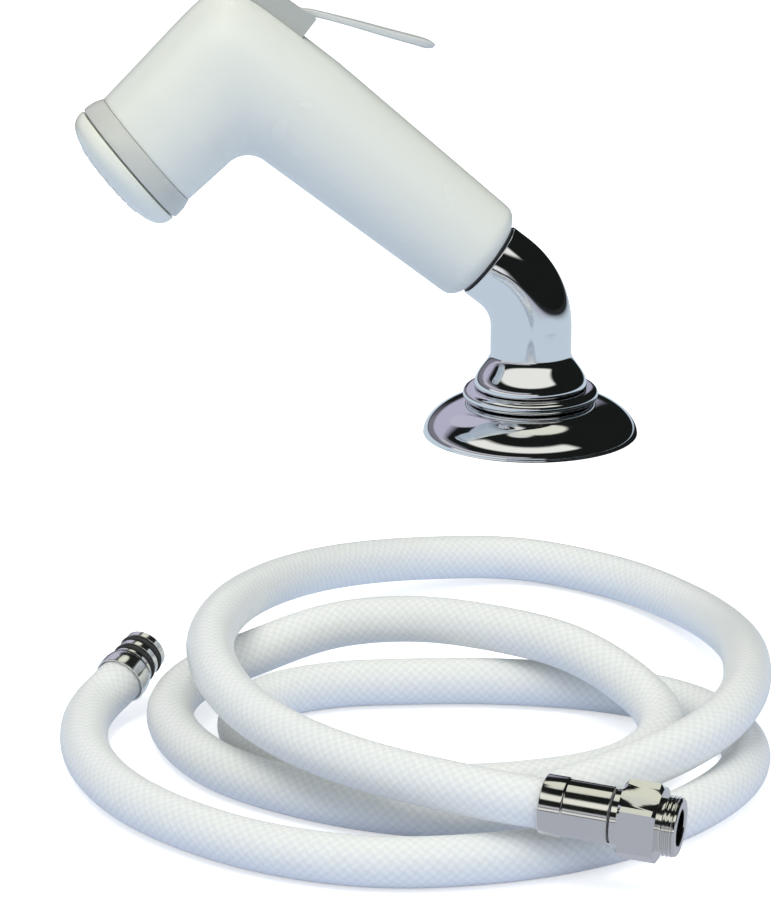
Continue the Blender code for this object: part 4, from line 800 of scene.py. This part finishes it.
def make_body():
    """The hollow shell, open at the face and at the handle's end, with the pocket for the bracket."""
    rings = shell_rings(0.0, 0.0)
    rings += [face_oval(radius, BODY_EDGE) for radius in (FACE_RADIUS - BODY_EDGE, NECK_RADIUS, FACE_BORE)]
    rings += shell_rings(BODY_WALL, END_WALL)[::-1]
    rings += [oval(0, height, HANDLE_BORE, HANDLE_BORE, 0.0) for height in (END_WALL, 0)]
    body = skin("spray_body", rings, HANDSET, "white", closed=True, sharp=60.0)
    pocket = block((POCKET_FLOOR, -POCKET_HALF_WIDTH, POCKET_START),
                   (POCKET_TOP, POCKET_HALF_WIDTH, POCKET_END), HANDSET)
    carve(body, ("DIFFERENCE", pocket))
    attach(body, "handset")
    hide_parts("handset_body")


def make_face_ring():
    inner = NECK_RADIUS + GAP
    eased, full = RING_FLARE
    outline = (
        (inner, GAP), (FACE_RADIUS + RING_FOOT_STEP, GAP), (RING_RADIUS - GAP, RING_HEIGHT * eased),
        (RING_RADIUS, RING_HEIGHT * full), (RING_RADIUS, RING_HEIGHT), (inner, RING_HEIGHT),
    )
    ring = turned("face_band", outline, FACE, "ring", 128, RING_EDGE)
    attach(ring, "handset")
    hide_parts("face_ring")


def dome_height(radius, base, top):
    share = min(max((radius - DOME_FLAT) / (DOME_RADIUS - DOME_FLAT), 0.0), 1.0)
    return base + (top - base) * (1 - share ** DOME_POWER) ** (1 / DOME_POWER)


def jet_places(base, top):
    """Centre and direction of each jet on the dome, in the face frame."""
    up = Vector((0.0, 0.0, 1.0))
    near = 1e-4
    places = []
    for count, radius in JET_RINGS:
        rise = dome_height(radius + near, base, top) - dome_height(max(radius - near, 0), base, top)
        slope = rise / (2 * near)
        for index in range(count):
            turn = 2 * math.pi * index / count
            outward = Vector((math.cos(turn), math.sin(turn), 0.0))
            centre = outward * radius + up * dome_height(radius, base, top)
            places.append((centre, (up - outward * slope).normalized()))
    return places


def jet_tree():
    """Geometry nodes: a rounded lip on every face of the seeds, turned the way the face looks."""
    tree = bpy.data.node_groups.new("jets_on_rings", "GeometryNodeTree")
    tree.interface.new_socket("Geometry", in_out="INPUT", socket_type="NodeSocketGeometry")
    for name, value in (("Hole Radius", JET_RADIUS), ("Lip Width", JET_LIP_WIDTH)):
        made = tree.interface.new_socket(name, in_out="INPUT", socket_type="NodeSocketFloat")
        made.default_value = value
    tree.interface.new_socket("Finish", in_out="INPUT", socket_type="NodeSocketMaterial")
    tree.interface.new_socket("Geometry", in_out="OUTPUT", socket_type="NodeSocketGeometry")
    given, out = tree.nodes.new("NodeGroupInput"), tree.nodes.new("NodeGroupOutput")

    half_width = combined(tree, "MULTIPLY", given.outputs["Lip Width"], 0.5)
    centre_line = tree.nodes.new("GeometryNodeCurvePrimitiveCircle")
    centre_line.inputs["Resolution"].default_value = 20
    reach = combined(tree, "ADD", given.outputs["Hole Radius"], half_width)
    tree.links.new(reach, centre_line.inputs["Radius"])
    section = tree.nodes.new("GeometryNodeCurvePrimitiveCircle")
    section.inputs["Resolution"].default_value = 8
    tree.links.new(half_width, section.inputs["Radius"])
    lip = tree.nodes.new("GeometryNodeCurveToMesh")
    tree.links.new(centre_line.outputs[0], lip.inputs["Curve"])
    tree.links.new(section.outputs[0], lip.inputs["Profile Curve"])
    smooth = tree.nodes.new("GeometryNodeSetShadeSmooth")
    tree.links.new(lip.outputs[0], smooth.inputs["Geometry"])

    kept = node(tree, "GeometryNodeCaptureAttribute", domain="FACE")
    kept.capture_items.new("VECTOR", "facing")
    normal = tree.nodes.new("GeometryNodeInputNormal")
    tree.links.new(given.outputs["Geometry"], kept.inputs["Geometry"])
    tree.links.new(normal.outputs[0], kept.inputs[1])
    spots = node(tree, "GeometryNodeMeshToPoints", mode="FACES")
    tree.links.new(kept.outputs["Geometry"], spots.inputs["Mesh"])
    facing = node(tree, "FunctionNodeAlignRotationToVector", axis="Z")
    tree.links.new(kept.outputs[1], facing.inputs["Vector"])

    placed = tree.nodes.new("GeometryNodeInstanceOnPoints")
    tree.links.new(spots.outputs[0], placed.inputs["Points"])
    tree.links.new(smooth.outputs[0], placed.inputs["Instance"])
    tree.links.new(facing.outputs[0], placed.inputs["Rotation"])
    real = tree.nodes.new("GeometryNodeRealizeInstances")
    tree.links.new(placed.outputs[0], real.inputs[0])
    coloured = tree.nodes.new("GeometryNodeSetMaterial")
    tree.links.new(real.outputs[0], coloured.inputs["Geometry"])
    tree.links.new(given.outputs["Finish"], coloured.inputs["Material"])
    tree.links.new(coloured.outputs[0], out.inputs[0])
    return tree


def make_jet_lips(places):
    """A small square seed at each jet, which the geometry nodes turn into a lip."""
    mesh = bmesh.new()
    for centre, normal in places:
        across = normal.orthogonal().normalized() * SEED_SIZE
        other = normal.cross(across)
        corners = (across + other, other - across, -across - other, across - other)
        mesh.faces.new([mesh.verts.new(FACE @ (centre + corner)) for corner in corners])
    seeds = bpy.data.meshes.new("jet_seeds")
    mesh.to_mesh(seeds)
    mesh.free()
    jets = linked_object("jet_lips", seeds)
    modifier = jets.modifiers.new("jets", "NODES")
    modifier.node_group = jet_tree()
    values = {"Hole Radius": JET_RADIUS, "Lip Width": JET_LIP_WIDTH, "Finish": FINISHES["nylon"]}
    for item in modifier.node_group.interface.items_tree:
        if item.in_out == "INPUT" and item.name in values:
            modifier[item.identifier] = values[item.name]
    bake(jets)
    return jets


def make_jet_pits(places):
    """A short rod through the dome at each jet, to cut the holes with."""
    mesh = bmesh.new()
    for centre, normal in places:
        turn = aimed(centre, normal)
        ends = [circle(JET_RADIUS, depth, JET_SIDES) for depth in (-JET_DEPTH, JET_CUT_ABOVE)]
        bottom, top = [[mesh.verts.new(FACE @ (turn @ point)) for point in end] for end in ends]
        join_rings(mesh, bottom, top)
        mesh.faces.new(bottom)
        mesh.faces.new(top)
    return mesh_object("jet_pits", mesh, "shade")


def make_spray_face():
    base = RING_HEIGHT + PLATE_GROOVE
    top = base + DOME_HEIGHT
    outline = [(NECK_RADIUS, base - PLATE_GROOVE), (NECK_RADIUS, base),
               (DOME_RADIUS - PLATE_EDGE, base), (DOME_RADIUS, base + PLATE_EDGE)]
    outline += quarter_arch(DOME_FLAT, DOME_RADIUS, base, top, DOME_POWER, 40)[1:]
    rings = [circle(radius, height, 144) for radius, height in outline]
    plate = skin("spray_dome", rings, FACE, "plate", sharp=50.0)
    places = jet_places(base, top)
    jets = make_jet_lips(places)
    # the walls that the pits cut take the dark painted-shade finish
    plate.data.materials.append(FINISHES["shade"])
    carve(plate, ("DIFFERENCE", make_jet_pits(places)))
    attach(plate, "handset")
    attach(jets, "handset")
    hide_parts("spray_plate")


# ---- lever ----

def smooth_sections(sections, steps):
    """More sections between the given ones, on smooth curves."""
    result = []
    for index in range(len(sections) - 1):
        p0 = sections[max(index - 1, 0)]
        p1, p2 = sections[index], sections[index + 1]
        p3 = sections[min(index + 2, len(sections) - 1)]
        for step in range(steps):
            t = step / steps
            values = []
            for a, b, c, d in zip(p0, p1, p2, p3):
                values.append(0.5 * (2 * b + (c - a) * t + (2 * a - 5 * b + 4 * c - d) * t * t
                                     + (3 * b - a - 3 * c + d) * t ** 3))
            result.append(tuple(values))
    result.append(sections[-1])
    return result


def cross_rod(name, radius, half_length, finish, sides):
    """A rod along the pivot's axis, across the handset."""
    rings = []
    for y in (-half_length, half_length):
        rings.append([Vector((PIVOT_HEIGHT + p.x, y, PIVOT_ALONG + p.y)) for p in circle(radius, 0.0, sides)])
    return skin(name, rings, HANDSET, finish)


def make_lever():
    """The blade through its sections, with the eye for the pin at its end."""
    sides = 40
    power = LEVER_CORNER_POWER
    rings = []
    for along, top, under, half in smooth_sections(LEVER_SECTIONS, 5):
        middle, thick = (top + under) / 2, (top - under) / 2
        ring = []
        for index in range(sides):
            turn = 2 * math.pi * (index + 0.5) / sides
            across, up = math.cos(turn), math.sin(turn)
            scale = (abs(across) ** power + abs(up) ** power) ** (-1 / power)
            ring.append(Vector((middle + thick * up * scale, half * across * scale, along)))
        rings.append(ring)
    lever = skin("thumb_lever", rings, HANDSET, "blade", sharp=60.0)
    barrel = cross_rod("lever_eye", BARREL_RADIUS, LEVER_HALF_WIDTH - GAP / 2, "blade", 48)
    bore = cross_rod("lever_eye_bore", PIN_RADIUS + GAP, EYE_CUT_HALF_LENGTH, None, 32)
    carve(lever, ("UNION", barrel), ("DIFFERENCE", bore))
    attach(lever, "lever")
    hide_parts("lever")


def make_bracket():
    """The model's own bracket, merged and with its edges rounded."""
    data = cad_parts["lever_bracket"].data.copy()
    bracket = linked_object("lever_cheeks", data)
    merged = bmesh.new()
    merged.from_mesh(data)
    bmesh.ops.remove_doubles(merged, verts=merged.verts, dist=1e-6)
    bmesh.ops.dissolve_limit(merged, angle_limit=math.radians(1.5), verts=merged.verts, edges=merged.edges)
    merged.to_mesh(data)
    merged.free()
    data.materials.clear()
    # darker grey finish: its own grey with painted shade
    data.materials.append(FINISHES["bracket"])
    soften(bracket, BRACKET_EDGE, 28.0)
    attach(bracket, "handset")
    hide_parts("lever_bracket")


def make_pin():
    pin = cross_rod("lever_pin", PIN_RADIUS, PIN_HALF_LENGTH, "steel", 32)
    soften(pin, PIN_EDGE)
    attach(pin, "handset")
    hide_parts("pivot_pin")


# ---- hose ----

def smooth_route(stations, spacing):
    """Evenly spaced points on a smooth curve through the stations (centripetal Catmull-Rom)."""
    steps, smoothing_passes = 16, 12
    knots = [Vector(p) for p in stations]
    knots = [2 * knots[0] - knots[1]] + knots + [2 * knots[-1] - knots[-2]]
    fine = []
    for first, second, third, fourth in zip(knots, knots[1:], knots[2:], knots[3:]):
        times = [0.0]
        for before, after in ((first, second), (second, third), (third, fourth)):
            times.append(times[-1] + (after - before).length ** 0.5)
        t0, t1, t2, t3 = times
        for step in range(steps):
            t = t1 + (t2 - t1) * step / steps
            a1 = first.lerp(second, (t - t0) / (t1 - t0))
            a2 = second.lerp(third, (t - t1) / (t2 - t1))
            a3 = third.lerp(fourth, (t - t2) / (t3 - t2))
            b1 = a1.lerp(a2, (t - t0) / (t2 - t0))
            b2 = a2.lerp(a3, (t - t1) / (t3 - t1))
            fine.append(b1.lerp(b2, (t - t1) / (t2 - t1)))
    fine.append(knots[-2])
    for smoothing in range(smoothing_passes):
        inner = [(a + 2 * b + c) / 4 for a, b, c in zip(fine, fine[1:], fine[2:])]
        fine = [fine[0]] + inner + [fine[-1]]
    return spaced(fine, spacing)


def spaced(points, spacing):
    """The same line with its points at even distances, close to the spacing."""
    lengths = [0.0]
    for before, after in zip(points, points[1:]):
        lengths.append(lengths[-1] + (after - before).length)
    count = max(2, round(lengths[-1] / spacing))
    result, index = [], 0
    for step in range(count + 1):
        target = lengths[-1] * step / count
        while index < len(points) - 2 and lengths[index + 1] < target:
            index += 1
        share = (target - lengths[index]) / (lengths[index + 1] - lengths[index])
        result.append(points[index].lerp(points[index + 1], share))
    return result


def hose_tube(name, path, radius, sides):
    """A tube along the path, with a UV map of metres along it and turns round it."""
    mesh = bmesh.new()
    layer = mesh.loops.layers.uv.new("along_round")
    section = circle(radius, 0.0, sides)
    rows, lengths = [], [0.0]
    tangent = (path[1] - path[0]).normalized()
    side = tangent.orthogonal().normalized()
    for index, point in enumerate(path):
        ahead = (path[min(index + 1, len(path) - 1)] - path[max(index - 1, 0)]).normalized()
        side = tangent.rotation_difference(ahead) @ side
        side = (side - ahead * side.dot(ahead)).normalized()
        tangent = ahead
        other = ahead.cross(side)
        rows.append([mesh.verts.new(point + side * p.x + other * p.y) for p in section])
        if index:
            lengths.append(lengths[-1] + (point - path[index - 1]).length)
    for row in range(len(rows) - 1):
        lower, upper = rows[row], rows[row + 1]
        for k in range(sides):
            after = (k + 1) % sides
            face = mesh.faces.new((lower[k], lower[after], upper[after], upper[k]))
            spots = ((lengths[row], k / sides), (lengths[row], (k + 1) / sides),
                     (lengths[row + 1], (k + 1) / sides), (lengths[row + 1], k / sides))
            for loop, spot in zip(face.loops, spots):
                loop[layer].uv = spot
    mesh.faces.new(rows[0])
    mesh.faces.new(rows[-1])
    return mesh_object(name, mesh, "hose", 60.0)


def make_hose():
    union_axis, plug_axis = Vector(UNION_DIRECTION).normalized(), Vector(PLUG_DIRECTION).normalized()
    start = Vector(HOSE_STATIONS[0]) + union_axis * (FERRULE_LENGTH - 2 * GAP)
    end = Vector(HOSE_STATIONS[-1]) + plug_axis * PLUG_HOSE_DEPTH
    route = smooth_route(HOSE_STATIONS, HOSE_POINT_SPACING)
    lead = [start.lerp(route[0], step / 8) for step in range(8)]
    path = lead + route + [route[-1].lerp(end, 0.5), end]
    hose = hose_tube("braided_hose", path, HOSE_RADIUS, 40)
    fittings = [make_ferrule(), make_union(), *make_plug()]
    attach(hose, "holder")
    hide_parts("supply_hose")


def make_ferrule():
    inner = HOSE_RADIUS + GAP
    collar = inner + FERRULE_COLLAR_WALL
    outer = inner + FERRULE_WALL
    outline = (
        (inner, 0.0), (collar, 0.0), (collar, FERRULE_COLLAR), (outer, FERRULE_COLLAR + GAP),
        (outer, FERRULE_LENGTH), (inner, FERRULE_LENGTH),
    )
    ferrule = turned("crimped_ferrule", outline, UNION, "fitting", 96, FERRULE_EDGE)
    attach(ferrule, "holder")
    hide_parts("hose_ferrule")
    return ferrule


def hexagon(height, limit, sides):
    """A ring round the union's hexagon, cut off at the limit, as a chamfer does to its corners."""
    ring = []
    for k in range(sides):
        turn = 2 * math.pi * k / sides
        sector = (turn - math.pi / 6) % (math.pi / 3) - math.pi / 6
        radius = min(UNION_HEX / 2 / math.cos(sector), limit)
        ring.append(Vector((radius * math.cos(turn), radius * math.sin(turn), height)))
    return ring


def make_union():
    """Collar, chamfered hexagon, groove, thread ridges and bore, as one closed skin."""
    sides = 96
    start = FERRULE_LENGTH + GAP
    low = start + UNION_COLLAR_LENGTH
    high = low + UNION_HEX_LENGTH
    thread_low = high + UNION_GROOVE
    end = thread_low + UNION_THREAD_LENGTH
    corner, flat = UNION_HEX / math.sqrt(3), UNION_HEX / 2
    chamfer = 0.6 * (corner - flat)
    collar = HOSE_RADIUS + FERRULE_WALL
    neck = UNION_THREAD_RADIUS - UNION_NECK_DEPTH
    crest, root = UNION_THREAD_RADIUS, UNION_THREAD_RADIUS - UNION_THREAD_DEPTH
    tip, edge = UNION_TIP, UNION_EDGE

    rings = []
    for radius, height in ((collar - GAP, start), (collar, start + GAP), (collar, low)):
        rings.append(circle(radius, height, sides))
    for height, limit in ((low, flat), (low + chamfer, corner), (high - chamfer, corner), (high, flat)):
        rings.append(hexagon(height, limit, sides))
    rings += [circle(neck, high, sides), circle(neck, thread_low, sides), circle(root, thread_low, sides)]
    for ridge in range(UNION_THREAD_RIDGES):
        foot = thread_low + tip + ridge * UNION_THREAD_PITCH
        for share, radius in ((0.0, root), (0.35, crest), (0.5, crest), (0.85, root)):
            rings.append(circle(radius, foot + share * UNION_THREAD_PITCH, sides))
    for radius, height in (
        (crest - tip, end - 3 * tip), (crest - 1.5 * tip, end - tip), (crest - 3 * tip, end),
        (UNION_BORE + edge, end), (UNION_BORE, end - edge), (UNION_BORE, start),
    ):
        rings.append(circle(radius, height, sides))
    union = skin("threaded_union", rings, UNION, "fitting", closed=True, sharp=28.0)
    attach(union, "holder")
    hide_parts("hose_union")
    return union


def make_plug():
    """The sleeve on the hose, the nipple that turns in it, and the nipple's two seals."""
    inner = HOSE_RADIUS + GAP
    rim = inner + FERRULE_WALL
    hold = PLUG_HOSE_DEPTH + GAP
    flange, neck = PLUG_FLANGE_RADIUS, PLUG_NECK_RADIUS
    front = hold + PLUG_FLANGE_THICKNESS + 2 * GAP
    outline = (
        (inner, 0.0), (rim, 0.0), (rim, hold), (rim - GAP, front),
        (rim - 2 * GAP, PLUG_SLEEVE_LENGTH - 2 * GAP), (rim - 4 * GAP, PLUG_SLEEVE_LENGTH),
        (neck + GAP, PLUG_SLEEVE_LENGTH), (neck + GAP, front),
        (flange + GAP, front), (flange + GAP, hold), (inner, hold),
    )
    sleeve = turned("plug_cone", outline, PLUG, "satin", 80, PLUG_EDGE)
    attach(sleeve, "holder")
    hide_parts("plug_sleeve")

    low = PLUG_SLEEVE_LENGTH + GAP
    high = low + PLUG_LENGTH
    back = hold + GAP
    shoulder = back + PLUG_FLANGE_THICKNESS
    seal = PLUG_SEAL_SECTION
    half_groove = seal + GAP
    floor = PLUG_RADIUS - 2 * seal
    centres = [low + place for place in PLUG_SEAL_PLACES]
    outline = [(PLUG_BORE, back), (flange, back), (flange, shoulder), (neck, shoulder), (neck, low),
               (PLUG_RADIUS, low)]
    for centre in centres:
        outline += [(PLUG_RADIUS, centre - half_groove), (floor, centre - half_groove),
                    (floor, centre + half_groove), (PLUG_RADIUS, centre + half_groove)]
    outline += [(PLUG_RADIUS, high - 3 * GAP), (PLUG_RADIUS - 3 * GAP, high), (PLUG_BORE, high)]
    nipple = turned("plug_spigot", outline, PLUG, "satin", 80, PLUG_EDGE)
    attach(nipple, "plug")
    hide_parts("plug_nipple")

    pieces = [sleeve, nipple]
    for index, centre in enumerate(centres):
        outline = [(floor + GAP + seal + p.x, centre + p.y) for p in circle(seal, 0.0, 16)]
        ring = turned(f"plug_o_ring_{index + 1}", outline, PLUG, "rubber", 64)
        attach(ring, "plug")
        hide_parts(f"plug_seal_{index + 1}")
        pieces.append(ring)
    return pieces


# ---- inner pieces that stay as they are ----

def finish_inner_nodes():
    kept = {
        "mount_plate": "steel", "deck_gasket": "rubber", "inlet_tail": "brass", "tail_clip": "steel",
        "tail_seal": "rubber", "inlet_screen": "steel", "inlet_washer": "rubber", "water_tube": "white",
        "valve_housing": "brass", "housing_seal_upper": "rubber", "housing_seal_lower": "rubber",
        "valve_cap": "nylon", "stem_seal": "rubber", "valve_stem": "steel", "seat_washer": "rubber",
        "valve_disc": "brass", "return_spring": "steel", "outlet_funnel": "nylon", "diffuser_disc": "nylon",
        "face_gasket": "rubber", "bracket_screw": "steel",
    }
    for name, finish in kept.items():
        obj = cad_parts[name]
        obj.data.materials.clear()
        obj.data.materials.append(FINISHES[finish])


# ---- studio ----

def make_camera():
    camera = bpy.data.cameras.new("camera")
    camera.sensor_fit = "HORIZONTAL"
    camera.sensor_width = SENSOR_WIDTH
    camera.lens = CAMERA_FOCAL_PIXELS / PHOTO_WIDTH_PIXELS * SENSOR_WIDTH
    camera.clip_start = 0.05
    holder = linked_object("camera", camera)
    holder.location = CAMERA_PLACE
    holder.rotation_euler = (math.radians(90.0 - CAMERA_DIP), 0.0, 0.0)
    bpy.context.scene.camera = holder


def make_floor():
    """White to the camera; in polished metal a painted pale reflection, with a painted shadow beside the
    holder and painted dark far away.
    """
    mesh = bmesh.new()
    bmesh.ops.create_circle(mesh, cap_ends=True, segments=96, radius=FLOOR_RADIUS)
    floor = mesh_object("floor", mesh, None)
    paper = bpy.data.materials.new("white_paper")
    paper.use_nodes = True
    tree = paper.node_tree
    shader = tree.nodes["Principled BSDF"]
    shader.inputs["Roughness"].default_value = 0.9
    shader.inputs["Specular IOR Level"].default_value = 0.0
    rays = tree.nodes.new("ShaderNodeLightPath")
    bounce = mixed(tree, rays.outputs["Is Camera Ray"], (0.66, 0.75, 1.0), (0.90, 0.90, 0.90))
    bounce = mixed(tree, rays.outputs["Is Glossy Ray"], bounce, (0.0, 0.0, 0.0))
    tree.links.new(bounce, shader.inputs["Base Color"])

    # Painted reflection: to glossy rays the floor glows pale, lighter further back, with a painted shadow
    # beside the holder and painted dark far off.
    place = node(tree, "ShaderNodeTexCoord").outputs["Object"]
    # painted shadow: the reflection goes dark within about 6 cm of this point beside the holder
    near = remapped(tree, distance_from(tree, place, (0.055, -0.040, 0.0)), 0.060, 0.085)
    # painted dark: the reflection fades to dark beyond about half a metre
    painted_far_fade = remapped(tree, distance_from(tree, place, (-0.15, -0.15, 0.0)), 0.45, 0.80, 1.0, 0.02)
    depth = node(tree, "ShaderNodeSeparateXYZ")
    tree.links.new(place, depth.inputs[0])
    backward = remapped(tree, depth.outputs[1], -0.36, -0.20)
    pale = mixed(tree, backward, (0.46, 0.48, 0.56), (0.59, 0.69, 0.78))
    painted_table_reflection = mixed(tree, combined(tree, "MULTIPLY", near, painted_far_fade), (0.010, 0.012, 0.011), pale)
    # the camera sees an even grey glow that whitens the floor; glossy rays see the painted reflection
    glow = mixed(tree, rays.outputs["Is Glossy Ray"], (0.55, 0.55, 0.55), painted_table_reflection)
    tree.links.new(glow, shader.inputs["Emission Color"])
    seen = combined(tree, "MAXIMUM", rays.outputs["Is Camera Ray"], rays.outputs["Is Glossy Ray"])
    tree.links.new(seen, shader.inputs["Emission Strength"])
    floor.data.materials.append(paper)


def make_room():
    """White to the camera, even light on dull surfaces, and in polished metal a dark room with a long light
    over the front, pale patches at the left and round ones overhead."""
    world = bpy.data.worlds.new("studio")
    bpy.context.scene.world = world
    world.use_nodes = True
    tree = world.node_tree
    even = tree.nodes["Background"]
    even.inputs["Color"].default_value = (0.90, 0.96, 1.0, 1.0)
    even.inputs["Strength"].default_value = 0.58

    direction = tree.nodes.new("ShaderNodeTexCoord").outputs["Generated"]
    towards = node(tree, "ShaderNodeSeparateXYZ")
    tree.links.new(direction, towards.inputs[0])
    right, back, up = towards.outputs
    soft = 0.03

    def beside(azimuth, lowest, highest):
        """1 towards an azimuth (0 away from the camera, 90 to the right), 0 away from it."""
        turn = math.radians(azimuth)
        across = combined(tree, "MULTIPLY", right, math.sin(turn))
        facing = combined(tree, "MULTIPLY_ADD", back, math.cos(turn), across)
        return remapped(tree, facing, lowest, highest)

    def between(low, high):
        """1 between two rises, 0 below and above them."""
        return combined(tree, "MULTIPLY", remapped(tree, up, low - soft, low + soft),
                        remapped(tree, up, high - soft, high + soft, 1.0, 0.0))

    colour = (0.009, 0.011, 0.010)
    for azimuth, lowest, highest, low, high, tint in ROOM_PATCHES:
        share = combined(tree, "MULTIPLY", beside(azimuth, lowest, highest), between(low, high))
        colour = mixed(tree, share, colour, tint)
    for aim, reach, tint in ROOM_SPOTS:
        share = remapped(tree, distance_from(tree, direction, aim), reach - 0.02, reach + 0.02, 1.0, 0.0)
        colour = mixed(tree, share, colour, tint)
    mirrored = tree.nodes.new("ShaderNodeBackground")
    tree.links.new(colour, mirrored.inputs["Color"])
    white = tree.nodes.new("ShaderNodeBackground")
    white.inputs["Color"].default_value = (1.0, 1.0, 1.0, 1.0)
    rays = tree.nodes.new("ShaderNodeLightPath")
    seen = combined(tree, "MAXIMUM", rays.outputs["Is Camera Ray"], rays.outputs["Is Transmission Ray"])
    shown = even.outputs[0]
    for share, background in ((rays.outputs["Is Glossy Ray"], mirrored), (seen, white)):
        choose = tree.nodes.new("ShaderNodeMixShader")
        tree.links.new(share, choose.inputs[0])
        tree.links.new(shown, choose.inputs[1])
        tree.links.new(background.outputs[0], choose.inputs[2])
        shown = choose.outputs[0]
    tree.links.new(shown, tree.nodes["World Output"].inputs[0])


def make_lamps():
    for name, place, aim, size, power, colour in LAMPS:
        light = bpy.data.lights.new(name, "AREA")
        light.size = size
        light.energy = power
        light.color = colour
        lamp = linked_object(name, light)
        lamp.location = place
        lamp.rotation_euler = (Vector(place) - Vector(aim)).to_track_quat("Z", "Y").to_euler()
        lamp.visible_glossy = False


make_camera()
make_floor()
make_room()
make_lamps()
bpy.context.scene.view_settings.view_transform = "Standard"
make_hose()
make_flange()
make_neck_ring()
make_elbow()
make_liner()
make_body()
make_face_ring()
make_spray_face()
make_lever()
make_bracket()
make_pin()
finish_inner_nodes()
